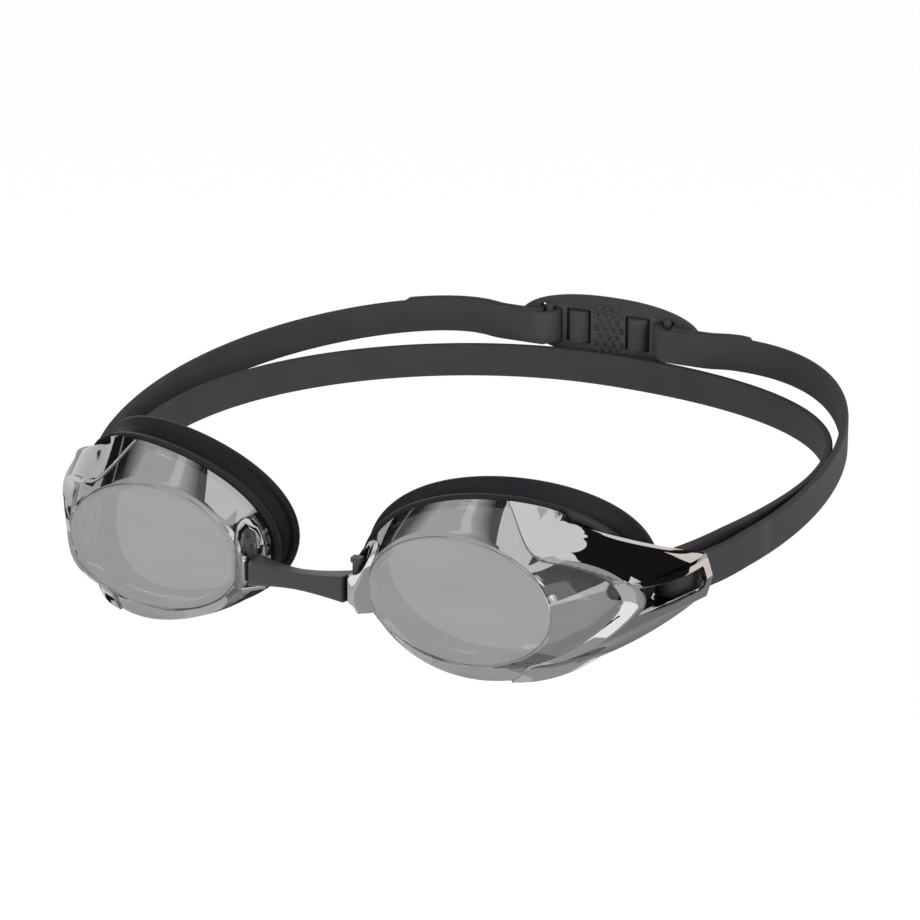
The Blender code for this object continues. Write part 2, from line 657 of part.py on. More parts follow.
def make_clip(name):
    # Oval plate with a barred slot for each end of the strap and a half-round roll beside it.
    middle = strap_height(CLIP_BACK, UPPER_CLIMB)
    face = CLIP_BACK - CLIP_THICK / 2
    rear = CLIP_BACK + CLIP_THICK / 2
    soft = CLIP_THICK / 4
    body = solid(name, [
        clip_ring(face, middle, soft), clip_ring(face + soft, middle, 0.0),
        clip_ring(rear - soft, middle, 0.0), clip_ring(rear, middle, soft),
    ])
    half = STRAP_WIDTH / 2 + CLIP_SLOT_ROOM
    for sign in SIDES.values():
        outer_half = min(half, clip_half_height(CLIP_SLOT_OUTER, CLIP_RIM))
        shoulder_x = CLIP_SLOT_OUTER - CLIP_SLOT_ROOM
        shape = [
            (CLIP_SLOT_INNER, -half), (shoulder_x, -half), (CLIP_SLOT_OUTER, -outer_half),
            (CLIP_SLOT_OUTER, outer_half), (shoulder_x, half), (CLIP_SLOT_INNER, half),
        ]
        slot = [[(sign * x, y, middle + z) for x, z in shape] for y in (face - CUT_OVER, rear + CUT_OVER)]
        combine(body, solid("slot", slot), "DIFFERENCE")
        bar_half = half + CLIP_SLOT_ROOM
        bar = post(sign * CLIP_BAR.x, CLIP_BAR.y, middle - bar_half, middle + bar_half, CLIP_BAR_RADIUS)
        combine(body, bar, "UNION")
        pocket_x = sign * (CLIP_BAR.x - CLIP_POCKET_INSET)
        low = (pocket_x - CLIP_POCKET_WIDTH / 2, face - CUT_OVER, middle - half)
        high = (pocket_x + CLIP_POCKET_WIDTH / 2, face + CLIP_POCKET_DEPTH, middle + half)
        combine(body, block(low, high), "DIFFERENCE")
        roll_half = CLIP_ROLL_HEIGHT / 2
        roll_y = face + CLIP_POCKET_DEPTH
        roll = post(pocket_x, roll_y, middle - roll_half, middle + roll_half, CLIP_ROLL_RADIUS)
        combine(body, roll, "UNION")
    trim = block(
        (-CLIP_LENGTH, rear, middle - CLIP_HEIGHT),
        (CLIP_LENGTH, rear + CUT_OVER, middle + CLIP_HEIGHT),
    )
    combine(body, trim, "DIFFERENCE")
    return body


def build():
    for thing in list(bpy.data.objects):
        bpy.data.objects.remove(thing)
    mirror = finish("lens_mirror", LENS_SURFACE)
    chrome = finish("arm_chrome", ARM_SURFACE)
    silicone = finish("gasket_silicone", SEAL_SURFACE)
    rubber = finish("bridge_rubber", BRIDGE_SURFACE)
    webbing = finish("strap_silicone", STRAP_SURFACE)
    nylon = finish("clip_nylon", CLIP_SURFACE)
    pin = (PIN_X, PIN_Y, 0.0)
    arm_axis = (0.0, BAR_Y, -STRAP_DROP)
    settle(make_bridge("nose_bridge"), rubber, (0.0, PIN_Y, 0.0))
    for side, sign in SIDES.items():
        settle(make_lens(side + "_lens"), mirror, pin, sign)
        settle(make_seal(side + "_gasket"), silicone, pin, sign)
        settle(make_arm(side + "_strap_arm"), chrome, pin, sign)
        settle(band(side + "_strap_loop", loop_route(), 0.0), webbing, pin, sign)
        upper = upper_route(UPPER_BACK_PULL_LEFT if sign > 0 else UPPER_BACK_PULL_RIGHT)
        settle(band(side + "_upper_strap", upper, UPPER_CLIMB), webbing, arm_axis, sign)
        strand = upper[:UPPER_STEPS + EASE_STEPS + 2]
        tail = tail_route(strand, TAIL_REACH_LEFT if sign > 0 else TAIL_REACH_RIGHT)
        settle(band(side + "_strap_tail", tail, UPPER_CLIMB, TAIL_SLANT), webbing, EXIT, sign)
    settle(band("lower_strap", lower_route(), LOWER_FALL), webbing, arm_axis)
    settle(make_clip("back_clip"), nylon, arm_axis)


build()
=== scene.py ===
import json
from math import acos, atan2, copysign, cos, degrees as inDegrees, pi, radians, sin, sqrt

import bmesh
import bpy
from mathutils import Matrix, Vector, kdtree
from mathutils.bvhtree import BVHTree

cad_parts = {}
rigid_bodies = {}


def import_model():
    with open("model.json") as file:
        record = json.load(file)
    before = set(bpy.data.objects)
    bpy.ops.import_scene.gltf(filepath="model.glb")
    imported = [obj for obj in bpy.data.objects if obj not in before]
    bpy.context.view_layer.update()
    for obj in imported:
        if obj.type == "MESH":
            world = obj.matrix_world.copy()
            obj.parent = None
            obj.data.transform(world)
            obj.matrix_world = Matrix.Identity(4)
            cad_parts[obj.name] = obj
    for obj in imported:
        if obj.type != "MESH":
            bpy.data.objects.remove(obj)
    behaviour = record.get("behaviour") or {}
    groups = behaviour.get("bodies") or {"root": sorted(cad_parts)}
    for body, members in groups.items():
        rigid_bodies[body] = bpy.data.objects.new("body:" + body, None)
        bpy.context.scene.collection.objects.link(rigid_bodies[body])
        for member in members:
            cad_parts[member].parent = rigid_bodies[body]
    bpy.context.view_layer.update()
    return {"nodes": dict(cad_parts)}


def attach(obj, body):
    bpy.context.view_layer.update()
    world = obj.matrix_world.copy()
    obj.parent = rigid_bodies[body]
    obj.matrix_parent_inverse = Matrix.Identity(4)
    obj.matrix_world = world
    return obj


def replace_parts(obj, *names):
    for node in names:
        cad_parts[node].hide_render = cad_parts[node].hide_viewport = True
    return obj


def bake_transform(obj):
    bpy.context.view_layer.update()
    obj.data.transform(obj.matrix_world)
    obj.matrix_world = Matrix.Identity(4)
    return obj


for thing in list(bpy.data.objects):
    bpy.data.objects.remove(thing)
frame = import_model()
print("frame loaded:", len(frame["nodes"]), "nodes")

handSides = {"left": 1.0, "right": -1.0}
touchGap = 0.0003           # gap that the frame keeps between pieces that touch
tiny = 0.0001               # keeps fades and divisions off zero
cornerSigns = ((1, 1), (-1, 1), (-1, -1), (1, -1))


# number helpers
def clamped(t):
    return max(0.0, min(1.0, t))


def between(low, high, t):
    return low + (high - low) * t


def shareOf(value, low, high):
    return (value - low) / (high - low)


def eased(t):
    t = clamped(t)
    return t * t * (3 - 2 * t)


def arched(t):
    return 4 * t * (1 - t)


def fullTurn(count):
    return [2 * pi * i / count for i in range(count)]


def signedDegrees(angle):
    degrees = inDegrees(angle) % 360
    return degrees - 360 if degrees > 180 else degrees


def toward(azimuth, elevation):
    # direction from two angles in degrees, with azimuth zero to the front
    a = radians(azimuth)
    e = radians(elevation)
    return Vector((sin(a) * cos(e), -cos(a) * cos(e), sin(e)))


def flat(x, y):
    return Vector((x, y, 0.0))


# mesh helpers
def added(name, data):
    thing = bpy.data.objects.new(name, data)
    bpy.context.scene.collection.objects.link(thing)
    return thing


def linked(name, mesh):
    data = bpy.data.meshes.new(name)
    mesh.to_mesh(data)
    mesh.free()
    return added(name, data)


def faceOut(mesh):
    bmesh.ops.recalc_face_normals(mesh, faces=mesh.faces)
    if mesh.calc_volume(signed=True) < 0:
        bmesh.ops.reverse_faces(mesh, faces=mesh.faces)


def ringBody(name, rings, closed=False):
    # closed skin through rings of points, with flat ends unless the run closes on itself
    mesh = bmesh.new()
    loops = [[mesh.verts.new(point) for point in ring] for ring in rings]
    spans = list(zip(loops, loops[1:]))
    if closed:
        spans.append((loops[-1], loops[0]))
    for low, high in spans:
        for i in range(len(low)):
            k = (i + 1) % len(low)
            mesh.faces.new((low[i], low[k], high[k], high[i]))
    if not closed:
        mesh.faces.new(loops[0][::-1])
        mesh.faces.new(loops[-1])
    faceOut(mesh)
    return linked(name, mesh)


def shaded(piece, sharp=35.0):
    piece.data.shade_smooth()
    piece.data.set_sharp_from_angle(angle=radians(sharp))
    return piece


def markSharp(mesh, isSharp):
    flags = mesh.attributes.get("sharp_edge") or mesh.attributes.new("sharp_edge", "BOOLEAN", "EDGE")
    for edge in mesh.edges:
        if isSharp(*edge.vertices):
            flags.data[edge.index].value = True


def applied(piece):
    # bakes the modifiers into the mesh
    graph = bpy.context.evaluated_depsgraph_get()
    data = bpy.data.meshes.new_from_object(piece.evaluated_get(graph))
    piece.modifiers.clear()
    piece.data = data
    return piece


def cut(piece, tool, operation="DIFFERENCE"):
    step = piece.modifiers.new(operation, "BOOLEAN")
    step.operation = operation
    step.object = tool
    applied(piece)
    bpy.data.objects.remove(tool)


def softened(piece, width, sharp=40.0, segments=3):
    step = piece.modifiers.new("soft edges", "BEVEL")
    step.width = width
    step.segments = segments
    step.limit_method = "ANGLE"
    step.angle_limit = radians(sharp)
    step.use_clamp_overlap = True
    applied(piece)


def mirrored(piece, side):
    if side < 0:
        piece.data.transform(Matrix.Scale(-1.0, 4, flat(1.0, 0.0)))
        piece.data.flip_normals()
    return piece


def plate(outline, low, high, name="plate"):
    return ringBody(name, [[(x, y, z) for x, y in outline] for z in (low, high)])


def brick(low, high):
    outline = [(low[0], low[1]), (high[0], low[1]), (high[0], high[1]), (low[0], high[1])]
    return plate(outline, low[2], high[2])


def upright(x, y, low, high, radius, sides=32):
    # round post along Z
    outline = [(x + radius * cos(a), y + radius * sin(a)) for a in fullTurn(sides)]
    return plate(outline, low, high, "post")


def roundedRing(halfWide, halfTall, soft, steps):
    # rectangle with round corners
    ring = []
    for first, (wide, tall) in enumerate(cornerSigns):
        for k in range(steps + 1):
            turn = pi / 2 * (first + k / steps)
            across = wide * (halfWide - soft) + soft * cos(turn)
            ring.append((across, tall * (halfTall - soft) + soft * sin(turn)))
    return ring


def roundedOutline(corners, radius, steps=5):
    # flat outline with an arc at each corner, which takes up less than half of either side
    sideShare = 0.45
    outline = []
    for i, corner in enumerate(corners):
        here = Vector(corner)
        before = Vector(corners[i - 1]) - here
        after = Vector(corners[(i + 1) % len(corners)]) - here
        reach = min(radius, before.length * sideShare, after.length * sideShare)
        start = here + before.normalized() * reach
        end = here + after.normalized() * reach
        for k in range(steps + 1):
            t = k / steps
            outline.append(start * (1 - t) ** 2 + here * (2 * t * (1 - t)) + end * t * t)
    return outline


def cornerCut(points, times):
    # rounds a closed run of points by cutting its corners
    for _ in range(times):
        pairs = zip(points, points[1:] + points[:1])
        points = [here.lerp(there, t) for here, there in pairs for t in (0.25, 0.75)]
    return points


# the left cup's outlines: bowed ovals walked by an angle that starts at the outer end
flatOval = {
    "middle": flat(0.0350, -0.0120), "width": 0.0404, "height": 0.0274,
    "yaw": 1.0, "pitch": -3.0, "bow": 0.0, "bowOuter": 0.0,
}
rimOval = {
    "middle": Vector((0.0399, -0.0079, 0.0018)), "width": 0.0552, "height": 0.0372,
    "yaw": 15.6, "pitch": 7.3, "bow": 0.0117, "bowOuter": 0.0017,
}
sealOval = {
    "middle": Vector((0.0390, 0.0014, 0.0025)), "width": 0.0600, "height": 0.0398,
    "yaw": 15.6, "pitch": 7.3, "bow": 0.0103, "bowOuter": 0.0012,
}


def faceAxes(shape):
    yaw = radians(shape["yaw"])
    across = flat(cos(yaw), sin(yaw))
    front = toward(shape["yaw"], shape["pitch"])
    return across, front.cross(across), front


def oval(angle, shape, grow=0.0, back=0.0):
    across, upward, front = faceAxes(shape)
    c = cos(angle)
    s = sin(angle)
    halfWidth = shape["width"] / 2
    halfHeight = shape["height"] / 2
    outward = (across * (c / halfWidth) + upward * (s / halfHeight)).normalized()
    point = shape["middle"] + across * (halfWidth * c) + upward * (halfHeight * s)
    return point - front * (shape["bow"] * c * c + shape["bowOuter"] * c ** 3 + back) + outward * grow


faceBack = -faceAxes(rimOval)[2]


# lenses: straight walls, flared at the outer end up to the seam that the arm's ledge follows
lensForm = {
    "sides": 208, "wall": 0.0018, "edge": 0.0005, "edgeTurn": 0.9, "flatMargin": 0.0001, "bulge": 0.0001,
    "flare": 0.00415, "flareAngle": -5.0, "flareTop": 43.0, "flareBottom": -58.0, "flarePower": 1.25,
    "edgeSteps": 4, "wallSteps": 10, "wallStart": 0.10, "backSteps": 5, "sharp": 40.0,
    "insideShares": (0.97, 0.8, 0.6, 0.4, 0.2, 0.08),
}
seamForm = {
    "tip": -1.0, "atTip": 0.60, "atRim": 0.95,
    "upper": {"kink": 48.0, "end": 82.0, "atKink": 0.205, "climbPower": 1.75, "fallPower": 1.65},
    "lower": {"kink": -34.0, "end": -79.0, "atKink": 0.22, "climbPower": 2.2, "fallPower": 1.6},
}


def seamShare(degrees):
    # share of the wall between the flat front and the seam: from the tip to a kink, then back to the rim
    tip = seamForm["tip"]
    half = seamForm["upper" if degrees > tip else "lower"]
    out = shareOf(degrees, tip, half["kink"])
    if out > 1:
        climb = min(1.0, shareOf(degrees, half["kink"], half["end"]))
        return between(half["atKink"], seamForm["atRim"], climb ** half["climbPower"])
    return between(seamForm["atTip"], half["atKink"], sin(pi / 2 * out) ** half["fallPower"])


def seamAt(angle):
    return seamShare(signedDegrees(angle))


def lensFlare(degrees):
    start = lensForm["flareAngle"]
    away = shareOf(degrees, start, lensForm["flareTop" if degrees > start else "flareBottom"])
    return lensForm["flare"] * max(0.0, 1 - away ** lensForm["flarePower"])


def lensWall(angle, share, grow=0.0):
    seam = seamAt(angle)
    ramp = share / seam if share < seam else (1 - share) / (1 - seam)
    out = grow + lensForm["bulge"] * arched(share) + lensFlare(signedDegrees(angle)) * ramp
    return oval(angle, flatOval, out).lerp(oval(angle, rimOval, out), share)


def lensRing(walk):
    return [walk(turn) for turn in fullTurn(lensForm["sides"])]


def hollowRings(wall, back):
    rings = [lensRing(lambda a: oval(a, rimOval, -wall, back))]
    for share in lensForm["insideShares"]:
        rings.append(lensRing(lambda a: lensWall(a, share, -wall)))
    rings.append(lensRing(lambda a: oval(a, flatOval, -wall, wall)))
    return rings


def makeLens(name):
    form = lensForm
    edge = form["edge"]
    rings = [lensRing(lambda a: oval(a, flatOval, -edge - form["flatMargin"]))]
    for k in range(form["edgeSteps"] + 1):
        turn = pi / 2 * k / form["edgeSteps"] * form["edgeTurn"]
        inset = edge * (1 - sin(turn))
        back = edge * (1 - cos(turn))
        rings.append(lensRing(lambda a: oval(a, flatOval, -inset, back)))
    for k in range(form["wallSteps"]):
        part = between(form["wallStart"], 1.0, k / (form["wallSteps"] - 1))
        rings.append(lensRing(lambda a: lensWall(a, seamAt(a) * part)))
    seamRing = len(rings) - 1
    for k in range(1, form["backSteps"] + 1):
        part = k / form["backSteps"]
        rings.append(lensRing(lambda a: lensWall(a, between(seamAt(a), 1.0, part))))
    sides = form["sides"]
    firstInside = sides * len(rings)
    lastWall = firstInside + sides * (len(form["insideShares"]) + 1)
    rings += hollowRings(form["wall"], 0.0)
    rings.append(lensRing(lambda a: oval(a, flatOval, -form["wall"] - edge, form["wall"])))
    lens = ringBody(name, rings)
    # the inside wall takes the darker painted-shade copy of the plastic (index 2), the inside of the flat the
    # bare plastic (index 1)
    for face in lens.data.polygons:
        first = min(face.vertices)
        if first >= firstInside:
            face.material_index = 2 if first < lastWall else 1
    shaded(lens, form["sharp"])
    markSharp(lens.data, lambda a, b: a // sides == b // sides == seamRing)
    return lens


# nose loops, chromed, round the hook pins of the bridge
pinX = 0.0124
pinY = -0.0118
noseLoop = {
    "turn": 40.0, "pinRadius": 0.0010, "pinTop": 0.0058, "pinBottom": 0.0046,
    "inner": -0.0030, "outer": 0.0046,
    "arch": (
        (-0.0024, -0.0058), (-0.0024, 0.0054), (-0.0012, 0.0078), (0.0006, 0.0088), (0.0024, 0.0080),
        (0.0036, 0.0058), (0.0036, -0.0046), (0.0026, -0.0046), (0.0026, 0.0050), (0.0018, 0.0064),
        (0.0006, 0.0070), (-0.0006, 0.0064), (-0.0015, 0.0048), (-0.0015, -0.0058),
    ),
    "plate": (
        (-0.0026, -0.0030), (-0.0012, -0.0042), (0.0006, -0.0058), (0.0046, -0.0058), (0.0046, 0.0090),
        (0.0036, 0.0088), (0.0014, 0.0052), (-0.0001, 0.0028), (-0.0026, 0.0028),
    ),
    "opening": ((-0.0040, -0.0064), (0.0004, -0.0064), (0.0004, 0.0094), (-0.0040, 0.0094)),
    "floor": ((-0.0006, -0.0058), (0.0040, -0.0058), (0.0040, -0.0047), (-0.0006, -0.0047)),
    "openingFront": 0.0010, "floorDepth": (-0.0020, 0.0032), "reach": 0.0060,
    "corner": 0.0014, "fillet": 0.0003, "soft": 0.00025, "over": 0.004, "sharp": 24.0,
}


def makeNoseLoop(name):
    # arch over the pin, cut to the plate's outline and turned to follow the lens edge
    form = noseLoop
    turn = radians(form["turn"])
    along = flat(cos(turn), sin(turn))
    back = flat(-sin(turn), cos(turn))
    pin = flat(pinX, pinY)

    def slab(shape, corner, axis, depthAxis, ends):
        outline = roundedOutline(form[shape], form[corner])
        rings = []
        for depth in ends:
            rings.append([pin + axis * p.x + depthAxis * depth + Vector((0.0, 0.0, p.y)) for p in outline])
        return ringBody(name, rings)

    reach = form["reach"]
    loop = slab("arch", "corner", back, along, (form["inner"], form["outer"]))
    cut(loop, slab("plate", "corner", along, back, (-reach, reach)), "INTERSECT")
    cut(loop, slab("opening", "fillet", along, back, (form["openingFront"], reach)))
    cut(loop, slab("floor", "fillet", along, back, form["floorDepth"]), "UNION")
    cut(loop, ringBody("hollow", hollowRings(lensForm["wall"] / 2, form["over"])))
    softened(loop, form["soft"])
    return shaded(loop, form["sharp"])


# strap arms, chromed wings round the outer half of each lens
armForm = {
    "spreadTop": 82.0, "spreadBottom": 79.0, "middle": -3.5, "seam": 0.00035, "lensGap": 0.00006,
    "ledge": 0.0027, "ledgeLow": 0.0013, "ledgeAngle": 5.0, "ledgeTop": 47.0, "ledgePower": 2.2,
    "ledgeBend": -15.0, "ledgeBottom": -50.0, "fadePower": 1.5,
    "ledgeBack": 0.0030, "slopeFrom": 15.0, "slopeRun": 35.0,
    "crease": 0.146, "outline": 0.111, "corner": 0.14, "edge": 0.68, "leave": 40.0,
    "notch": 0.704, "notchStep": 0.0005, "notchAngle": 59.5, "notchWall": (56.7, 0.85),
    "creaseSag": 0.0015, "creaseFade": 0.22,
    "sideSag": 0.0007, "sideSwell": 0.0010, "sideFrom": -0.35, "sideRun": 0.45,
    "belly": 0.0023, "bellyFrom": 0.2, "bellyPower": 0.85,
    "reachOut": 0.0119, "reachBack": 0.0120, "endHeight": 0.0043, "endLean": (-0.25, -0.125),
    "topEnd": Vector((0.0736, 0.0246, 0.0041)), "topPull": Vector((0.0652, 0.0033, 0.0121)),
    "lip": 0.0009, "lipShare": 0.07, "lipFade": 0.3, "tipShare": 0.30, "tipFade": 0.16,
    "skin": 0.0013, "skinRate": 4.0,
    "slotTop": 0.102, "slotBottom": -0.06, "slotFront": 0.08, "slotRear": 0.90,
    "strips": 160, "steps": 36, "bandSteps": 6, "evenTimes": 12, "combFrom": -0.05, "combRun": 0.1,
    "barRadius": 0.0015, "barInset": 0.0082, "barFromEnd": 0.0030,
    "soft": 0.00018, "sharp": 38.0, "lift": 0.0002, "liftRange": 0.003,
}
strapDrop = 0.0004          # strap middle below the eye line at the arms
rimEnd = oval(0.0, rimOval)
armEndX = rimEnd.x + armForm["reachOut"]
armEndY = rimEnd.y + armForm["reachBack"]
barX = armEndX - armForm["barInset"]
barY = armEndY - armForm["barFromEnd"]


def armDegrees(turn):
    # turn runs from 1 at the wing's upper end to -1 at its lower end
    middle = armForm["middle"]
    return middle + turn * (armForm["spreadTop"] - middle if turn >= 0 else armForm["spreadBottom"] + middle)


def armLedge(degrees):
    # how far the ledge stands out from the seam, and how far it slopes back
    form = armForm
    past = max(0.0, shareOf(degrees, form["ledgeBend"], form["ledgeBottom"]))
    fade = max(0.0, 1 - past ** form["fadePower"])
    if degrees > form["ledgeAngle"]:
        away = shareOf(degrees, form["ledgeAngle"], form["ledgeTop"])
        out = form["ledge"] * max(0.0, 1 - away ** form["ledgePower"])
    else:
        fall = eased(shareOf(degrees, form["ledgeAngle"], form["ledgeBend"]))
        out = between(form["ledge"], form["ledgeLow"], fall)
    return out * fade, form["ledgeBack"] * eased((form["slopeFrom"] - degrees) / form["slopeRun"]) * fade


def topEdge(along):
    # the wing's upper edge, from the rear corner to the notch on the lens wall
    degrees, share = armForm["notchWall"]
    front = lensWall(radians(degrees), share, armForm["seam"])
    pull = armForm["topPull"] * (2 * along * (1 - along))
    return armForm["topEnd"] * (1 - along) ** 2 + pull + front * along * along


def armEnd(turn):
    # rear edge of the wing
    form = armForm
    if turn > form["notch"]:
        degrees = between(form["notchAngle"], form["spreadTop"], shareOf(turn, form["notch"], 1.0))
        return lensWall(radians(degrees), 1.0)
    if turn >= form["crease"]:
        return topEdge(shareOf(turn, form["crease"], form["notch"]))
    reach = abs(turn)
    up = 1.0 if turn >= 0 else -1.0
    middle = Vector((armEndX, armEndY, -strapDrop))
    corner = middle + Vector((*form["endLean"], up)) * form["endHeight"]
    if reach <= form["corner"]:
        return middle.lerp(corner, reach / form["corner"])
    if reach <= form["edge"]:
        leave = oval(radians(up * form["leave"]), rimOval, form["seam"])
        end = corner.lerp(leave, shareOf(reach, form["corner"], form["edge"]))
    else:
        degrees = between(form["leave"], form["spreadBottom"], shareOf(reach, form["edge"], 1.0))
        end = oval(radians(up * degrees), rimOval, form["seam"])
    if turn < -form["bellyFrom"]:
        along = shareOf(reach, form["bellyFrom"], 1.0)
        end.z -= form["belly"] * sin(pi * along ** form["bellyPower"])
    return end


def armStrip(turn):
    # outside of the wing at one place across it: out along the ledge, then back to the rear edge
    form = armForm
    degrees = armDegrees(turn)
    angle = radians(degrees)
    share = seamShare(degrees)
    out, back = armLedge(degrees)
    bare = lensWall(angle, share, form["lensGap"])
    outward = (lensWall(angle, share, 1.0) - lensWall(angle, share)).normalized()
    rearward = (oval(angle, rimOval) - oval(angle, flatOval)).normalized()
    start = bare + outward * (form["seam"] - form["lensGap"] + out) + rearward * back
    end = armEnd(turn)
    strip = [bare.lerp(start, k / form["bandSteps"]) for k in range(form["bandSteps"])]
    run = (end - start).normalized()
    sideways = flat(run.y, -run.x).normalized()
    upper = eased(1 - (turn - form["crease"]) / form["creaseFade"])
    lower = eased((turn - form["sideFrom"]) / form["sideRun"])
    nearTip = eased(1 - (turn - form["crease"]) / form["tipFade"])
    lipShare = between(form["lipShare"], form["tipShare"], nearTip)
    lip = form["lip"] * eased((form["notch"] - turn) / form["lipFade"])
    for t in armShares:
        place = start.lerp(end, t)
        if form["crease"] <= turn <= form["notch"]:
            place.z -= form["creaseSag"] * upper * arched(t)
            rolled = max(0.0, (t - 1 + lipShare) / lipShare)
            place -= sideways * (lip * rolled ** (1 + nearTip))
        elif turn < form["crease"]:
            place.z -= form["sideSag"] * lower * arched(t)
            place += sideways * (form["sideSwell"] * lower * arched(t))
        strip.append(offLens(place))
    return strip


def lensSkin():
    # outside of the lens wall as a fine search tree
    sides = 720
    levels = 12
    places = []
    faces = []
    for k in range(levels + 1):
        part = 2 * k / levels
        for angle in fullTurn(sides):
            seam = seamAt(angle)
            places.append(lensWall(angle, seam * part if part < 1 else between(seam, 1.0, part - 1)))
    for k in range(levels):
        for i in range(sides):
            j = (i + 1) % sides
            faces.append((k * sides + i, k * sides + j, (k + 1) * sides + j, (k + 1) * sides + i))
    return BVHTree.FromPolygons(places, faces)


lensTree = lensSkin()


def offLens(point):
    # keeps a place of the wing outside the lens, with a soft start
    near, normal, _, distance = lensTree.find_nearest(point)
    if distance > armForm["liftRange"]:
        return point
    if normal.dot(near - flatOval["middle"]) < 0:
        normal = -normal
    depth = armForm["seam"] - (point - near).dot(normal)
    return point + normal * (depth + sqrt(depth * depth + armForm["lift"] ** 2)) / 2


def withPlaces(values, places):
    # moves the nearest inner value onto each wanted place
    for place in places:
        nearest = min(range(1, len(values) - 1), key=lambda i: abs(values[i] - place))
        values[nearest] = place
    return values


lipPlaces = [1 - armForm["lipShare"] * k for k in (0.25, 0.5)]
armShares = withPlaces(
    [i / armForm["steps"] for i in range(armForm["steps"] + 1)],
    [armForm["slotFront"], armForm["slotRear"]] + lipPlaces,
)
armLines = [armForm[line] for line in ("crease", "outline", "slotTop", "slotBottom")]
armTurns = withPlaces(
    [1 - 2 * i / armForm["strips"] for i in range(armForm["strips"] + 1)],
    armLines + [-armForm["corner"], armForm["notch"]],
)
armTurns.insert(armTurns.index(armForm["notch"]), armForm["notch"] + armForm["notchStep"])


def gridNormals(grid):
    normals = []
    for i, line in enumerate(grid):
        before = grid[max(i - 1, 0)]
        after = grid[min(i + 1, len(grid) - 1)]
        normals.append([])
        for k in range(len(line)):
            across = line[min(k + 1, len(line) - 1)] - line[max(k - 1, 0)]
            normals[-1].append((after[k] - before[k]).cross(across).normalized())
    return normals


def gridShell(name, outer, inner, isHole, marked, marks):
    # closed shell between two grids of points, with a window and its first columns marked
    mesh = bmesh.new()
    ledge = mesh.verts.layers.float.new("ledge")
    top = [[mesh.verts.new(p) for p in line] for line in outer]
    low = [[mesh.verts.new(p) for p in line] for line in inner]
    for line, mark in zip(top, marks):
        for vertex in line[:marked]:
            vertex[ledge] = mark
    border = {}
    for i in range(len(outer) - 1):
        for k in range(len(outer[0]) - 1):
            if isHole(i, k):
                continue
            ring = [(i, k), (i + 1, k), (i + 1, k + 1), (i, k + 1)]
            mesh.faces.new([top[a][b] for a, b in ring])
            mesh.faces.new([low[a][b] for a, b in ring[:1] + ring[:0:-1]])
            for a, b in zip(ring, ring[1:] + ring[:1]):
                if (b, a) in border:
                    del border[(b, a)]
                else:
                    border[(a, b)] = True
    for a, b in border:
        mesh.faces.new((top[b[0]][b[1]], top[a[0]][a[1]], low[a[0]][a[1]], low[b[0]][b[1]]))
    loose = [v for v in mesh.verts if not v.link_faces]
    bmesh.ops.delete(mesh, geom=loose, context="VERTS")
    faceOut(mesh)
    return linked(name, mesh)


def keepCrisp(piece, lines):
    # marks the edges that lie along the given lines of places as sharp
    near = 0.00002
    alike = 0.7
    spots = [place for line in lines for place in line]
    tree = kdtree.KDTree(len(spots))
    for i, place in enumerate(spots):
        tree.insert(place, i)
    tree.balance()
    vertices = piece.data.vertices
    onLine = [tree.find(vertex.co)[2] < near for vertex in vertices]
    direction = (lines[0][-1] - lines[0][0]).normalized()

    def isCrisp(a, b):
        run = (vertices[b].co - vertices[a].co).normalized()
        return onLine[a] and onLine[b] and abs(run.dot(direction)) > alike

    markSharp(piece.data, isCrisp)


def evened(grid, fixedRows, firstColumn, times):
    # smooths a grid of places, apart from its borders and the fixed rows; half of each place stays
    for _ in range(times):
        smooth = [list(line) for line in grid]
        for i in range(1, len(grid) - 1):
            if i in fixedRows:
                continue
            for k in range(firstColumn + 1, len(grid[i]) - 1):
                around = grid[i - 1][k] + grid[i + 1][k] + grid[i][k - 1] + grid[i][k + 1]
                smooth[i][k] = grid[i][k] * 0.5 + around * 0.125
        grid = smooth
    return grid


def makeArm(name):
    form = armForm
    first = form["bandSteps"]
    fixedRows = [i for i, turn in enumerate(armTurns) if not form["crease"] < turn < form["notch"]]
    outer = evened([armStrip(turn) for turn in armTurns], fixedRows, first, form["evenTimes"])
    inner = []
    for turn, places, normals in zip(armTurns, outer, gridNormals(outer)):
        thin = min(form["skin"], form["seam"] + armLedge(armDegrees(turn))[0] - form["lensGap"])
        extra = (form["skin"] - thin) * clamped((1.0 - abs(turn) / form["edge"]) * form["skinRate"])
        line = []
        for k, point in enumerate(places):
            share = max(0.0, (k - first) / form["steps"])
            line.append(point - normals[k] * (thin + extra * min(1.0, share * form["skinRate"])))
        inner.append(line)

    def inSlot(i, k):
        turn = (armTurns[i] + armTurns[i + 1]) / 2
        if not form["slotBottom"] < turn < form["slotTop"] or k < first:
            return False
        share = (armShares[k - first] + armShares[k - first + 1]) / 2
        return form["slotFront"] < share < form["slotRear"]

    marks = [eased((turn - form["combFrom"]) / form["combRun"]) for turn in armTurns]
    arm = gridShell(name, outer, inner, inSlot, first + 1, marks)
    softened(arm, form["soft"], form["sharp"])
    shaded(arm, form["sharp"])
    keepCrisp(arm, [outer[armTurns.index(form[line])][first:] for line in ("crease", "outline")])
    return arm


armCore = {
    "ear": 0.0010, "earFar": (0.0674, 0.0190), "earWide": 0.0017, "earSteps": 12, "sides": 40, "soft": 0.0002,
    "shelf": (
        (0.0630, 0.0130), (0.0642, 0.0105), (0.0655, 0.0100), (0.0697, 0.0180), (0.0712, 0.0215),
        (0.0668, 0.0232), (0.0630, 0.0225),
    ),
    "shelfCorner": 0.0012, "shelfSteps": 4,
}


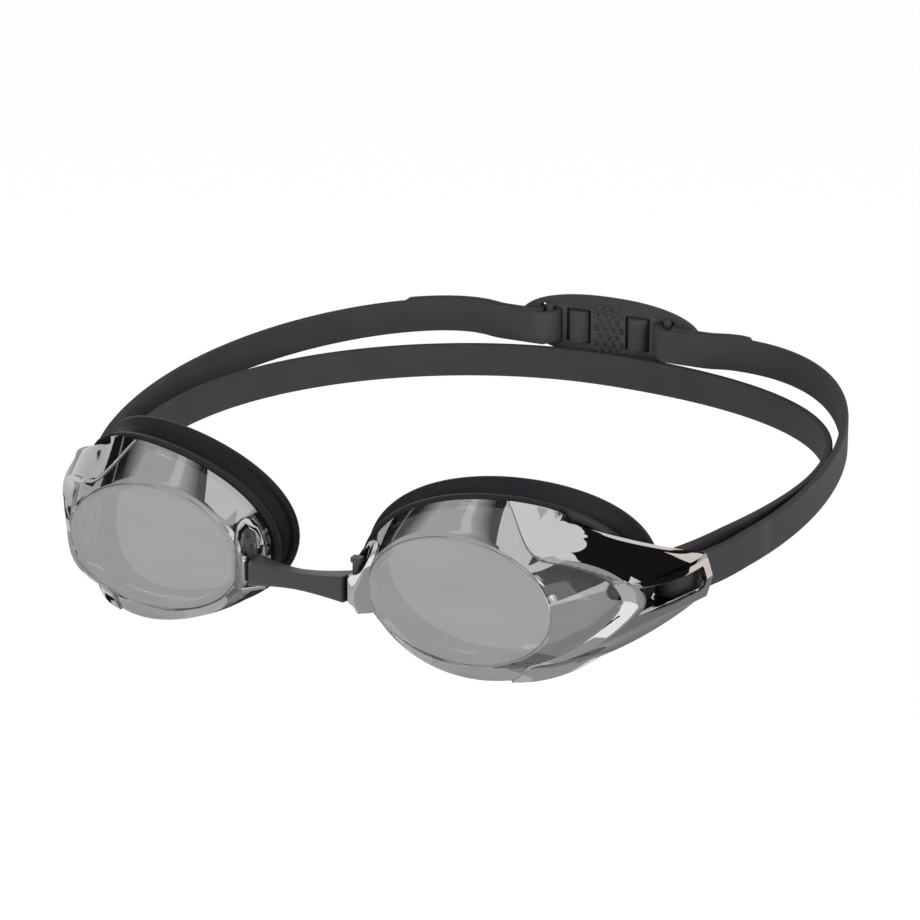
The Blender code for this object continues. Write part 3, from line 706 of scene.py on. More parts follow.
def makeArmBar():
    # upright strap bar, the ear over it and the shelf that carries it inside the wing
    form = armCore
    half = strapForm["width"] / 2 + touchGap
    top = -strapDrop + half
    floor = -strapDrop - half
    ear = form["ear"]
    post = upright(barX, barY, floor - ear / 2, top + ear / 2, armForm["barRadius"], form["sides"])
    near = Vector((barX, barY))
    far = Vector(form["earFar"])
    run = (far - near).normalized() * form["earWide"]
    side = Vector((-run.y, run.x))
    outline = []
    for middle, sign in ((near, -1.0), (far, 1.0)):
        for k in range(form["earSteps"] + 1):
            turn = pi * (k / form["earSteps"] - 0.5)
            outline.append(middle + run * (sign * cos(turn)) + side * (sign * sin(turn)))
    cut(post, plate(outline, top, top + ear), "UNION")
    shelf = roundedOutline(form["shelf"], form["shelfCorner"], form["shelfSteps"])
    cut(post, plate(shelf, floor - ear, floor), "UNION")
    softened(post, form["soft"])
    return shaded(post)


# seals
sealForm = {
    "sides": 168, "lip": 0.0020, "lipProud": 0.0009, "lipLow": -0.8, "lipRun": 0.7, "skin": 0.0014,
    "groove": 0.0019, "flange": 0.0017, "flangeWidth": 0.0048, "neckShare": 0.6, "sharp": 60.0,
    "tabFrom": 34.0, "tabTo": 60.0, "tabEase": 5.0, "tabReach": 0.0034, "tabDrop": 0.0004, "lipSoft": 0.0001,
}


def sealSection(angle):
    form = sealForm
    lip = oval(angle, rimOval)
    tip = oval(angle, sealOval)
    neck = lip.lerp(tip, form["neckShare"])
    outward = oval(angle, rimOval, 1.0) - lip
    # the lip stays hidden at the bottom, and a tab fills the notch over the wing
    proud = form["lipProud"] * eased((sin(angle) - form["lipLow"]) / form["lipRun"])
    degrees = signedDegrees(angle)
    ease = form["tabEase"]
    tab = eased((degrees - form["tabFrom"]) / ease) * eased((form["tabTo"] - degrees) / ease)
    thick = form["lip"]
    groove = form["groove"]
    flange = form["flange"]
    wide = form["flangeWidth"]
    wall = lensForm["wall"]
    section = (
        (lip, proud - form["lipSoft"] - form["tabDrop"] * tab, touchGap - form["tabReach"] * tab),
        (lip, proud, touchGap + thick * 0.3), (lip, proud, touchGap + thick),
        (lip, proud - groove * 0.8, touchGap + thick * 1.5),
        (lip, proud - groove * 1.2, touchGap + thick * 2.2),
        (neck, -groove, 0.0),
        (tip, -flange, -flange * 1.15), (tip, -flange / 5, -flange * 1.05), (tip, 0.0, -flange / 2),
        (tip, -flange / 4, 0.0), (tip, -wide * 0.6, -flange * 0.1), (tip, -wide, -flange * 0.7),
        (neck, -groove - form["skin"], 0.0),
        (lip, -wall, touchGap + thick), (lip, -wall, touchGap), (lip, -wall * 0.4, touchGap),
    )
    return cornerCut([base + outward * out + faceBack * back for base, out, back in section], times=2)


def makeSeal(name):
    sections = [sealSection(turn) for turn in fullTurn(sealForm["sides"])]
    return shaded(ringBody(name, sections, closed=True), sealForm["sharp"])


# nose bridge
bridgeForm = {
    "height": 0.0056, "waist": 0.0036, "depth": 0.0056, "waistDepth": 0.0036, "spreadPower": 1.7,
    "front": 0.0036, "arch": 0.0006, "rise": 0.0004, "drop": 0.0006, "endX": 0.0106, "steps": 48,
    "round": 0.32, "cornerSteps": 6,
    "neck": 0.0020, "neckHeight": 0.0056, "neckStart": 0.0006, "neckFront": 0.0004, "pinSides": 40,
    "capTop": 0.0011, "capWide": 0.0022, "capDeep": 0.0018, "soft": 0.00035, "sharp": 45.0,
}


def bridgeRing(x, y, z, depth, height):
    soft = min(depth, height) / 2 * bridgeForm["round"]
    ring = roundedRing(depth / 2, height / 2, soft, bridgeForm["cornerSteps"])
    return [Vector((x, y + across, z + up)) for across, up in ring]


def makeBridge(name):
    form = bridgeForm
    rings = []
    for i in range(form["steps"] + 1):
        along = 2 * i / form["steps"] - 1
        spread = abs(along) ** form["spreadPower"]
        height = between(form["waist"], form["height"], spread)
        depth = between(form["waistDepth"], form["depth"], spread)
        front = flatOval["middle"].y - form["front"] - form["arch"] * (1 - spread)
        middle = -form["drop"] + form["rise"] * (1 - spread)
        rings.append(bridgeRing(along * form["endX"], front + depth / 2, middle, depth, height))
    necks = []
    for x in (form["endX"] + form["neckStart"], pinX):
        necks.append(bridgeRing(x, pinY - form["neckFront"], -form["drop"], form["neck"], form["neckHeight"]))
    bridge = ringBody(name, [flipped(ring) for ring in necks[::-1]] + rings + necks)
    top = noseLoop["pinTop"]
    halfWide = form["capWide"] / 2
    halfDeep = form["capDeep"] / 2
    for sign in handSides.values():
        x = sign * pinX
        pin = upright(x, pinY, -noseLoop["pinBottom"], top, noseLoop["pinRadius"], form["pinSides"])
        cut(bridge, pin, "UNION")
        low = (x - halfWide, pinY - halfDeep, top - form["capTop"])
        cut(bridge, brick(low, (x + halfWide, pinY + halfDeep, top)), "UNION")
    softened(bridge, form["soft"], form["sharp"])
    return shaded(bridge, form["sharp"])


# head strap, one band shown as several lengths
strapForm = {
    "width": 0.0078, "thick": 0.0017, "edge": 0.0005, "splay": 20.9, "lead": 0.0062,
    "upperClimb": 0.0679, "upperSag": 0.0012, "lowerClimb": -0.0047, "lowerSag": -0.0013, "levelRun": 0.016,
    "upperSidePull": {"left": 0.0468, "right": 0.0752}, "upperBackPull": {"left": 0.0421, "right": 0.0205},
    "lowerSidePull": {"left": 0.0812, "right": 0.0565}, "lowerBackPull": {"left": 0.0532, "right": 0.0488},
    "shoulder": 0.0335, "shoulderBack": 0.0011, "lowerClear": 0.0013,
    "tailReach": {"left": 0.0240, "right": 0.0370}, "tailRise": -0.0001, "tailBend": 0.009,
    "slant": 0.0060, "slantRoom": 0.0005, "split": 0.046, "bendEnd": 0.095,
    "sideSteps": 90, "easeSteps": 14, "turnSteps": 28, "edgeSteps": 5, "sharp": 45.0,
}
clipForm = {
    "back": 0.1410, "length": 0.0460, "height": 0.0152, "thick": 0.0020, "fullness": 2.2, "sides": 128,
    "rise": 0.0004, "rim": 0.0007, "flatInset": 0.0004, "edgeShare": 0.3, "edgeSteps": 4,
    "barRadius": 0.0010, "barInset": 0.0080, "barProud": 0.0007, "barRoot": 0.0001, "barSides": 32,
    "slotSide": 0.00015, "slotExit": 0.0024, "slotRoom": 0.0006, "slotDip": 0.0009, "slotCorner": 0.0007,
    "pocketWidth": 0.0062, "pocketHeight": 0.0082, "pocketDepth": 0.0009, "pocketInset": 0.0075,
    "rollRadius": 0.0025, "rollHeight": 0.0076, "rollSides": 48, "over": 0.004,
    "soft": 0.00018, "softSharp": 50.0, "sharp": 40.0,
    "dotRows": (3, 4, 3, 4, 3, 4, 3), "dotPitch": 0.0021, "dotRowPitch": 0.00175, "dotRadius": 0.00072,
    "dotHeight": 0.00080, "dotRoot": 0.0001, "dotSides": 16, "dotSteps": 5, "dotSharp": 50.0,
}
acrossX = flat(1.0, 0.0)
bar = flat(barX, barY)
splay = radians(strapForm["splay"])
leadRun = flat(sin(splay), cos(splay))
leadSide = flat(cos(splay), -sin(splay))
halfThick = strapForm["thick"] / 2
layer = strapForm["thick"] + touchGap
wrapRadius = armForm["barRadius"] + touchGap + halfThick
outerEnd = bar + leadSide * wrapRadius + leadRun * strapForm["lead"]
innerEnd = bar - leadSide * wrapRadius + leadRun * strapForm["lead"]
clipFace = clipForm["back"] - clipForm["thick"] / 2
clipRear = clipForm["back"] + clipForm["thick"] / 2
clipEnd = clipForm["length"] / 2
clipBar = flat(clipEnd - clipForm["barInset"], clipForm["back"] - clipForm["barProud"])
clipWrap = clipForm["barRadius"] + touchGap + halfThick
slotOuter = clipBar.x + clipForm["slotExit"]
slotInner = clipBar.x - clipWrap - halfThick - clipForm["slotSide"]
exitPoint = flat(slotOuter - touchGap, clipFace - touchGap - halfThick)
entryPoint = exitPoint - flat(strapForm["thick"], layer)
tailStart = exitPoint + acrossX * strapForm["thick"]

# climb to the back, sag and lift of each strand
upperRise = (strapForm["upperClimb"], strapForm["upperSag"], 0.0)
lowerRise = (strapForm["lowerClimb"], strapForm["lowerSag"], 0.0)
tailRise = (strapForm["upperClimb"], strapForm["upperSag"], strapForm["tailRise"])
noRise = (0.0, 0.0, 0.0)


def strapHeight(y, rise):
    # level at the arms, then a climb to the back with a slight sag
    climb, sag, lift = rise
    along = clamped(shareOf(y, barY, clipForm["back"]))
    started = eased((y - outerEnd.y) / strapForm["levelRun"])
    return -strapDrop + started * (climb * (y - barY) - sag * sin(pi * along)) + lift


clipMiddle = strapHeight(clipForm["back"], upperRise) + clipForm["rise"]


def curve(start, startPull, endPull, end, count):
    places = []
    for i in range(count + 1):
        t = i / count
        u = 1 - t
        pulls = startPull * (3 * u * u * t) + endPull * (3 * u * t * t)
        places.append(start * u ** 3 + pulls + end * t ** 3)
    return places


def arc(middle, radius, first, last):
    count = strapForm["turnSteps"]
    turns = [between(first, last, i / count) for i in range(count + 1)]
    return [middle + flat(cos(a), sin(a)) * radius for a in turns]


def flipped(places):
    return [Vector((-place.x, place.y, place.z)) for place in places]


def lastRun(places):
    return (places[-1] - places[-2]).normalized()


def band(name, places, rise, runs, slant=0.0):
    # flat band with soft edges along a route; runs gives the directions at its two ends
    section = roundedRing(halfThick, strapForm["width"] / 2, strapForm["edge"], strapForm["edgeSteps"])
    last = len(places) - 1
    rings = []
    for i, place in enumerate(places):
        if i in (0, last):
            run = runs[0] if i == 0 else runs[1]
        else:
            run = (places[i + 1] - places[i - 1]).normalized()
        side = flat(run.y, -run.x)
        middle = Vector((place.x, place.y, strapHeight(place.y, rise)))
        lean = slant if i == last else 0.0
        rings.append([
            middle + side * out + Vector((0.0, 0.0, up)) - run * (lean * (0.5 + up / strapForm["width"]))
            for out, up in section
        ])
    return shaded(ringBody(name, rings), strapForm["sharp"])


def strapLength(name, side, *route):
    return dressed(mirrored(band(name, *route), side), "strap", "strap")


def leaveBar(target, turn):
    run = target - clipBar
    return atan2(run.y, run.x) + turn * acos(clipWrap / run.length)


def loopRoute():
    lead = leadRun * strapForm["lead"]
    outward = [bar + leadSide * wrapRadius + lead * k for k in (1.0, 0.75, 0.5, 0.25)]
    inward = [place - leadSide * (2 * wrapRadius) for place in outward[::-1]]
    return outward + arc(bar, wrapRadius, -splay, -splay - pi) + inward


def upperRoute(hand):
    shoulder = flat(strapForm["shoulder"], entryPoint.y + strapForm["shoulderBack"])
    sidePull = leadRun * strapForm["upperSidePull"][hand]
    backPull = acrossX * strapForm["upperBackPull"][hand]
    beside = flat(clipEnd + strapForm["thick"], entryPoint.y)
    ease = acrossX * ((shoulder.x - beside.x) / 2)
    strand = curve(outerEnd, outerEnd + sidePull, shoulder + backPull, shoulder, strapForm["sideSteps"])
    strand += curve(shoulder, shoulder - ease, beside + ease, beside, strapForm["easeSteps"])[1:]
    strand += [beside.lerp(entryPoint, k / 4) for k in (1, 2, 3, 4)]
    first = leaveBar(entryPoint, -1.0)
    last = leaveBar(exitPoint, 1.0) - 2 * pi
    return strand, arc(clipBar, clipWrap, first, last) + [exitPoint, tailStart]


def tailRoute(strand, hand):
    # back along the strand, one layer behind it
    limit = slotOuter + strapForm["tailReach"][hand]
    route = [tailStart]
    for i in range(len(strand) - 1, 0, -1):
        run = (strand[i - 1] - strand[i]).normalized()
        place = strand[i] + flat(-run.y, run.x) * layer
        if place.x > limit:
            break
        if place.x > tailStart.x + strapForm["thick"]:
            route.append(place)
    end = route[-1].lerp(place, shareOf(limit, route[-1].x, place.x))
    room = strapForm["slant"] + strapForm["slantRoom"]
    return [spot for spot in route if (spot - end).length > room] + [end]


def lowerHalf(hand):
    back = flat(0.0, clipFace - strapForm["lowerClear"] - halfThick)
    backPull = acrossX * strapForm["lowerBackPull"][hand]
    sidePull = leadRun * strapForm["lowerSidePull"][hand]
    return curve(innerEnd, innerEnd + sidePull, back + backPull, back, strapForm["sideSteps"])


def splitAt(route, y):
    # two runs that share the route's first place past y
    k = next(i for i, place in enumerate(route) if place.y > y)
    return route[:k + 1], route[k:]


# back clip
def clipHalfHeight(x):
    power = clipForm["fullness"]
    return clipForm["height"] / 2 * (1 - (x / clipEnd) ** power) ** (1 / power)


def clipRing(y, inset):
    halfLength = clipEnd - inset
    halfHeight = clipForm["height"] / 2 - inset
    power = 2 / clipForm["fullness"]
    ring = []
    for turn in fullTurn(clipForm["sides"]):
        c = cos(turn)
        s = sin(turn)
        x = halfLength * copysign(abs(c) ** power, c)
        ring.append((x, y, clipMiddle + halfHeight * copysign(abs(s) ** power, s)))
    return ring


def makeClip(name):
    form = clipForm
    soft = form["thick"] * form["edgeShare"]
    rings = []
    for start, sign in ((clipFace, 1.0), (clipRear, -1.0)):
        quarter = [clipRing(start, soft + form["flatInset"])]
        for k in range(form["edgeSteps"] + 1):
            turn = pi / 2 * k / form["edgeSteps"]
            quarter.append(clipRing(start + sign * soft * (1 - cos(turn)), soft * (1 - sin(turn))))
        rings += quarter if sign > 0 else quarter[::-1]
    clip = ringBody(name, rings)
    half = strapForm["width"] / 2 + form["slotRoom"]
    outerHalf = min(half, clipHalfHeight(slotOuter) - form["rim"])
    slotShoulder = slotOuter - form["slotRoom"]
    slot = roundedOutline((
        (slotInner, -half), (slotShoulder, -half), (slotOuter, -outerHalf),
        (slotOuter, outerHalf), (slotShoulder, half), (slotInner, half - form["slotDip"]),
    ), form["slotCorner"], 3)
    over = form["over"]
    barHalf = half + form["barRoot"]
    pocketFloor = clipFace + form["pocketDepth"]
    halfWidth = form["pocketWidth"] / 2
    halfHeight = form["pocketHeight"] / 2
    rollHalf = form["rollHeight"] / 2

    def post(x, y, reach, radius, sides):
        return upright(x, y, clipMiddle - reach, clipMiddle + reach, radius, sides)

    for sign in handSides.values():
        ends = (clipFace - over, clipRear + over)
        cut(clip, ringBody("slot", [[(sign * p.x, y, clipMiddle + p.y) for p in slot] for y in ends]))
        cut(clip, post(sign * clipBar.x, clipBar.y, barHalf, form["barRadius"], form["barSides"]), "UNION")
        x = sign * (clipBar.x - form["pocketInset"])
        low = (x - halfWidth, clipFace - over, clipMiddle - halfHeight)
        cut(clip, brick(low, (x + halfWidth, pocketFloor, clipMiddle + halfHeight)))
        cut(clip, post(x, pocketFloor, rollHalf, form["rollRadius"], form["rollSides"]), "UNION")
    low = (-form["length"], clipRear, clipMiddle - form["height"])
    cut(clip, brick(low, (form["length"], clipRear + over, clipMiddle + form["height"])))
    softened(clip, form["soft"], form["softSharp"], 2)
    return shaded(clip, form["sharp"])


def makeDots(name):
    # moulded grip dots on the inside of the clip
    form = clipForm
    mesh = bmesh.new()
    sides = form["dotSides"]
    for r, count in enumerate(form["dotRows"]):
        z = clipMiddle + (r - (len(form["dotRows"]) - 1) / 2) * form["dotRowPitch"]
        for k in range(count):
            x = (k - (count - 1) / 2) * form["dotPitch"]
            rings = []
            for step in range(form["dotSteps"]):
                turn = pi / 2 * step / form["dotSteps"]
                radius = form["dotRadius"] * cos(turn)
                y = clipFace + form["dotRoot"] - (form["dotHeight"] + form["dotRoot"]) * sin(turn)
                places = [(x + radius * cos(a), y, z + radius * sin(a)) for a in fullTurn(sides)]
                rings.append([mesh.verts.new(place) for place in places])
            peak = mesh.verts.new((x, clipFace - form["dotHeight"], z))
            mesh.faces.new(rings[0])
            for i in range(sides):
                j = (i + 1) % sides
                for low, high in zip(rings, rings[1:]):
                    mesh.faces.new((low[i], low[j], high[j], high[i]))
                mesh.faces.new((rings[-1][i], rings[-1][j], peak))
    faceOut(mesh)
    return shaded(linked(name, mesh), form["dotSharp"])


# materials
def put(tree, kind, sockets=None, **settings):
    # new node with its settings and the constants of its sockets
    node = tree.nodes.new("ShaderNode" + kind)
    for name, value in settings.items():
        setattr(node, name, value)
    for name, value in (sockets or {}).items():
        node.inputs[name].default_value = value
    return node


def wire(tree, source, target):
    tree.links.new(source, target)


def ranged(tree, source, fromLow, fromHigh, toLow, toHigh):
    # clamps and rescales a value
    ends = {"From Min": fromLow, "From Max": fromHigh, "To Min": toLow, "To Max": toHigh}
    node = put(tree, "MapRange", ends)
    wire(tree, source, node.inputs["Value"])
    return node.outputs["Result"]


def combined(tree, operation, *sources):
    node = put(tree, "Math", operation=operation)
    for i, source in enumerate(sources):
        wire(tree, source, node.inputs[i])
    return node.outputs["Value"]


def noise(tree, place, **sockets):
    node = put(tree, "TexNoise", sockets)
    wire(tree, place, node.inputs["Vector"])
    return node


def newGroup(name, outputs):
    tree = bpy.data.node_groups.new(name, "ShaderNodeTree")
    for output in outputs:
        tree.interface.new_socket(output, in_out="OUTPUT", socket_type="NodeSocketFloat")
    end = tree.nodes.new("NodeGroupOutput")
    return tree, end.inputs, put(tree, "TexCoord").outputs["Object"]


def mouldGrainGroup():
    # fine moulded grain with broad, faint patches, and a mask of convex edges that are painted lighter, part
    # wear and part painted highlight
    tree, ends, place = newGroup("mould grain", ("Height", "Patch", "WornAndLitEdge"))
    tree.interface.new_socket("Scale", in_out="INPUT", socket_type="NodeSocketFloat")
    start = tree.nodes.new("NodeGroupInput")
    fine = noise(tree, place, Detail=4.0)
    wire(tree, start.outputs["Scale"], fine.inputs["Scale"])
    broad = noise(tree, place, Scale=95.0, Detail=3.0)
    geometry = put(tree, "NewGeometry")
    wire(tree, fine.outputs["Fac"], ends["Height"])
    wire(tree, ranged(tree, broad.outputs["Fac"], 0.3, 0.7, 0.0, 1.0), ends["Patch"])
    # convex edges: mask for a lighter colour, part wear and part painted highlight
    wire(tree, ranged(tree, geometry.outputs["Pointiness"], 0.52, 0.62, 0.0, 1.0), ends["WornAndLitEdge"])
    return tree


def wipingMarksGroup():
    # faint wiping marks for polished faces
    tree, ends, place = newGroup("wiping marks", ("Mark",))
    stretch = put(tree, "Mapping", {"Scale": (0.6, 1.0, 2.2)})
    wire(tree, place, stretch.inputs["Vector"])
    marks = noise(tree, stretch.outputs["Vector"], Scale=70.0, Detail=6.0)
    wire(tree, ranged(tree, marks.outputs["Fac"], 0.42, 0.72, 0.0, 1.0), ends["Mark"])
    return tree


mouldGrain = mouldGrainGroup()
wipingMarks = wipingMarksGroup()


def newMaterial(name, **sockets):
    material = bpy.data.materials.new(name)
    material.use_nodes = True
    shader = material.node_tree.nodes["Principled BSDF"]
    for socket, value in sockets.items():
        shader.inputs[socket].default_value = value
    return material, material.node_tree, shader


def useGroup(tree, group):
    node = tree.nodes.new("ShaderNodeGroup")
    node.node_tree = group
    return node


def colourBetween(tree, fac, low, high):
    # low is a colour or a socket that gives one
    mix = put(tree, "Mix", data_type="RGBA")
    if isinstance(low, tuple):
        mix.inputs["A"].default_value = (*low, 1.0)
    else:
        wire(tree, low, mix.inputs["A"])
    mix.inputs["B"].default_value = (*high, 1.0)
    wire(tree, fac, mix.inputs["Factor"])
    return mix.outputs["Result"]


def bumped(tree, height, strength, distance, shader):
    bump = put(tree, "Bump", {"Strength": strength, "Distance": distance})
    wire(tree, height, bump.inputs["Height"])
    wire(tree, bump.outputs["Normal"], shader.inputs["Normal"])


def moulded(look):
    # dull moulded plastic or rubber: grain, faint patches, and convex edges painted lighter as wear and as
    # painted highlight
    material, tree, shader = newMaterial(look["name"])
    grain = useGroup(tree, mouldGrain)
    grain.inputs["Scale"].default_value = look["grain"]
    patch = grain.outputs["Patch"]
    base = colourBetween(tree, patch, look["dark"], look["light"])
    # convex edges painted lighter: part wear, part painted highlight
    wire(tree, colourBetween(tree, grain.outputs["WornAndLitEdge"], base, look["wornAndLitEdge"]), shader.inputs["Base Color"])
    wire(tree, ranged(tree, patch, 0.0, 1.0, *look["rough"]), shader.inputs["Roughness"])
    shader.inputs["Specular IOR Level"].default_value = look["gloss"]
    bumped(tree, grain.outputs["Height"], look["depth"], 0.0001, shader)
    return material


def polished(look):
    # smooth face with faint wiping marks
    material, tree, shader = newMaterial(look["name"], Metallic=look["metallic"])
    mark = useGroup(tree, wipingMarks).outputs["Mark"]
    wire(tree, colourBetween(tree, mark, look["tint"], look["worn"]), shader.inputs["Base Color"])
    wire(tree, ranged(tree, mark, 0.0, 1.0, *look["rough"]), shader.inputs["Roughness"])
    return material, tree, shader


def clear(look):
    # thin clear plastic, coated or bare
    material, _, shader = polished(look)
    shader.inputs["Transmission Weight"].default_value = 1.0
    shader.inputs["IOR"].default_value = look["index"]
    return material


def honeycomb(tree, place, pitch):
    # six-sided pattern from three waves at sixty degrees
    waves = []
    for degrees in (0, 60, 120):
        turn = radians(degrees)
        dot = put(tree, "VectorMath", operation="DOT_PRODUCT")
        wire(tree, place, dot.inputs[0])
        dot.inputs[1].default_value = [2 * pi / pitch * k for k in (cos(turn), 0.0, sin(turn))]
        waves.append(combined(tree, "COSINE", dot.outputs["Value"]))
    total = combined(tree, "ADD", combined(tree, "ADD", waves[0], waves[1]), waves[2])
    return ranged(tree, total, -1.5, 0.2, 1.0, 0.0)


def plated(look):
    # bright plated plastic, with a honeycomb grip on the ledge
    material, tree, shader = polished(look)
    comb = honeycomb(tree, put(tree, "TexCoord").outputs["Object"], look["combPitch"])
    ledge = put(tree, "Attribute", attribute_name="ledge")
    shown = combined(tree, "MULTIPLY", comb, ledge.outputs["Fac"])
    bumped(tree, shown, look["combDepth"], 0.00012, shader)
    return material


mirrorLook = {
    "name": "mirror_coat", "tint": (0.392, 0.398, 0.392), "worn": (0.370, 0.376, 0.370),
    "rough": (0.012, 0.045), "metallic": 0.64, "index": 1.05,
}
insideLook = {
    "name": "lens_inside", "tint": (0.95, 0.96, 0.95), "worn": (0.90, 0.91, 0.90),
    "rough": (0.02, 0.07), "metallic": 0.0, "index": 1.05,
}
# inside wall of the lens: a much darker copy of the same clear plastic, painted shade that deepens the dark
# crescent and patches seen through the lens
paintedShadeLook = {
    "name": "lens_inside_wall_painted_shade", "tint": (0.09, 0.10, 0.09), "worn": (0.07, 0.08, 0.07),
    "rough": (0.02, 0.07), "metallic": 0.0, "index": 1.05,
}
chromeLook = {
    "name": "arm_chrome", "tint": (0.345, 0.350, 0.345), "worn": (0.325, 0.330, 0.325),
    "rough": (0.015, 0.05), "metallic": 1.0, "combPitch": 0.00115, "combDepth": 0.09,
}
sealLook = {
    "name": "seal_silicone", "dark": (0.0150, 0.0146, 0.0175), "light": (0.0185, 0.0180, 0.0215),
    "wornAndLitEdge": (0.030, 0.030, 0.034), "rough": (0.40, 0.50), "gloss": 0.08, "grain": 5200.0, "depth": 0.12,
}
bridgeLook = {
    "name": "bridge_rubber", "dark": (0.026, 0.026, 0.029), "light": (0.033, 0.033, 0.036),
    "wornAndLitEdge": (0.045, 0.045, 0.049), "rough": (0.30, 0.40), "gloss": 0.42, "grain": 5200.0, "depth": 0.10,
}
strapLook = {
    "name": "strap_silicone", "dark": (0.043, 0.043, 0.047), "light": (0.050, 0.050, 0.054),
    "wornAndLitEdge": (0.068, 0.068, 0.072), "rough": (0.50, 0.58), "gloss": 0.05, "grain": 4200.0, "depth": 0.12,
}
clipLook = {
    "name": "clip_nylon", "dark": (0.044, 0.044, 0.048), "light": (0.051, 0.051, 0.055),
    "wornAndLitEdge": (0.064, 0.064, 0.068), "rough": (0.46, 0.54), "gloss": 0.06, "grain": 3600.0, "depth": 0.18,
}
finishes = {
    "mirror": clear(mirrorLook), "inside": clear(insideLook), "shade": clear(paintedShadeLook),
    "chrome": plated(chromeLook), "seal": moulded(sealLook), "bridge": moulded(bridgeLook),
    "strap": moulded(strapLook), "clip": moulded(clipLook),
}
print("materials made")


def dressed(piece, slot, *names):
    piece.data.materials.clear()
    for name in names:
        piece.data.materials.append(finishes[name])
    return piece


# cups
for hand, side in handSides.items():
    cup = hand + "_eyecup"
    lens = dressed(mirrored(makeLens(hand + "_lens_shell"), side), "lens", "mirror", "inside", "shade")
    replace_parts(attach(lens, cup), hand + "_lens")
    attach(dressed(mirrored(makeNoseLoop(hand + "_nose_loop"), side), "arm", "chrome"), cup)
    arm = dressed(mirrored(makeArm(hand + "_wing"), side), "arm", "chrome")
    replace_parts(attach(arm, cup), hand + "_strap_arm")
    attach(dressed(mirrored(makeArmBar(), side), "arm", "chrome"), cup)
    seal = dressed(mirrored(makeSeal(hand + "_seal"), side), "gasket", "seal")
    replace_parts(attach(seal, cup), hand + "_gasket")
    loop = strapLength(hand + "_band_loop", side, loopRoute(), noRise, (-leadRun, leadRun))
    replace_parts(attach(loop, cup), hand + "_strap_loop")
print("cups made")

bridge = dressed(makeBridge("bridge_form"), "bridge", "bridge")
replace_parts(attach(bridge, "bridge"), "nose_bridge")
print("bridge made")

# strap lengths: each strand is cut into a front length and a rear length
splitY = strapForm["split"]
lowerRears = []
for hand, side in handSides.items():
    cup = hand + "_eyecup"
    strand, fold = upperRoute(hand)
    front, rear = splitAt(strand, splitY)
    meet = lastRun(front)
    piece = strapLength(hand + "_upper_front", side, front, upperRise, (leadRun, meet))
    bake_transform(piece)
    piece = strapLength(hand + "_upper_band", side, rear + fold, upperRise, (meet, acrossX))
    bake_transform(piece)
    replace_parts(piece, hand + "_upper_strap")
    tail = tailRoute(strand, hand)
    tailRuns = (acrossX, lastRun(tail))
    piece = strapLength(hand + "_loose_end", side, tail, tailRise, tailRuns, strapForm["slant"])
    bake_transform(piece)
    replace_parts(piece, hand + "_strap_tail")
    front, rear = splitAt(lowerHalf(hand), splitY)
    meet = lastRun(front)
    piece = strapLength(hand + "_lower_front", side, front, lowerRise, (leadRun, meet))
    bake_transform(piece)
    lowerRears.append((rear, meet))
(leftRear, leftMeet), (rightRear, rightMeet) = lowerRears
lowerRoute = leftRear + flipped(rightRear)[::-1][1:]
rightRun = flat(rightMeet.x, -rightMeet.y)
lower = strapLength("lower_band", handSides["left"], lowerRoute, lowerRise, (leftMeet, rightRun))
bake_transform(lower)
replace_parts(lower, "lower_strap")
print("strap made")

clip = dressed(makeClip("clip_plate"), "clip", "clip")
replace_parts(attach(clip, "upper_strand"), "back_clip")
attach(dressed(makeDots("clip_grip_dots"), "clip", "clip"), "upper_strand")
print("clip made")

# stage: floor, world, lamps, reflector cards and camera
studio = {
    "floorDrop": 0.50, "floorSize": 8.0, "floorTint": (0.93, 0.93, 0.93), "floorGlow": 0.80,
    "floorLevel": 1.16, "worldLight": 0.28,
    "cardDistance": 1.6, "cardStep": 0.01, "cardLift": 0.04, "cardColumns": 24, "cardRows": 12,
    "cameraPlace": (0.35944, -0.67756, 0.29424), "azimuth": 25.957, "elevation": 19.640,
    "focal": 4000.0, "frame": 920.0, "sensor": 36.0, "clipStart": 0.01, "lampTarget": (0.0, 0.05, 0.0),
}
cardLevels = {
    "black": 0.02, "dim": 0.45, "floor": 0.42, "grey": 0.75,
    "strip": 1.40, "softbox": 1.60, "front": 2.2, "warm": 1.5,
}
cardTints = {"warm": (1.10, 1.0, 0.97)}
# name, azimuths, elevations with the far end's top where it slants, level, fades; later ones stand nearer
cards = (
    ("low_shade", (45.0, 97.0), (-85.0, -5.0), "grey"),
    ("floor_shade", (97.0, 235.0), (-85.0, -5.0), "floor"),
    ("left_flag", (-113.0, -76.0), (-6.0, 62.0), "black", (0.0, 0.48)),
    ("left_strip", (-102.5, -100.8), (-6.0, 62.0), "dim"),
    ("top_strip", (-39.0, -26.0), (42.0, 84.0), "strip"),
    ("top_flag", (-26.0, 27.0), (42.0, 86.0), "black", (0.68, 0.0)),
    ("right_softbox", (27.0, 182.0), (46.5, 86.0), "softbox"),
    ("front_softbox", (36.0, 80.0), (-14.0, 31.0), "front"),
    ("warm_card", (117.0, 178.0), (-16.0, 62.0), "warm"),
    ("right_flag", (86.2, 140.0), (11.0, 50.5, 66.0), "black"),
    ("nose_flag", (64.0, 86.2), (10.0, 41.5, 33.5), "black"),
    ("notch_softbox", (74.0, 86.2), (37.5, 47.0), "softbox"),
    ("leg_flag", (-113.0, -97.0), (-32.0, -9.0), "black"),
    ("wall_flag", (86.2, 97.0), (0.0, 11.0), "black"),
    ("right_strip", (80.0, 97.0), (-5.0, 0.0), "strip"),
    ("wing_flag", (97.0, 117.0), (-16.0, 11.0), "black"),
)
# name, place, size, power
lamps = (
    ("key", (-0.80, -1.35, 0.40), (1.2, 1.0), 20.0),
    ("fill", (1.55, -0.25, 0.35), (1.0, 1.0), 20.0),
)


def seenDirectly(tree):
    # one for camera, mirror and see-through rays
    rays = put(tree, "LightPath").outputs
    first = combined(tree, "MAXIMUM", rays["Is Camera Ray"], rays["Is Glossy Ray"])
    return combined(tree, "MAXIMUM", first, rays["Is Transmission Ray"])


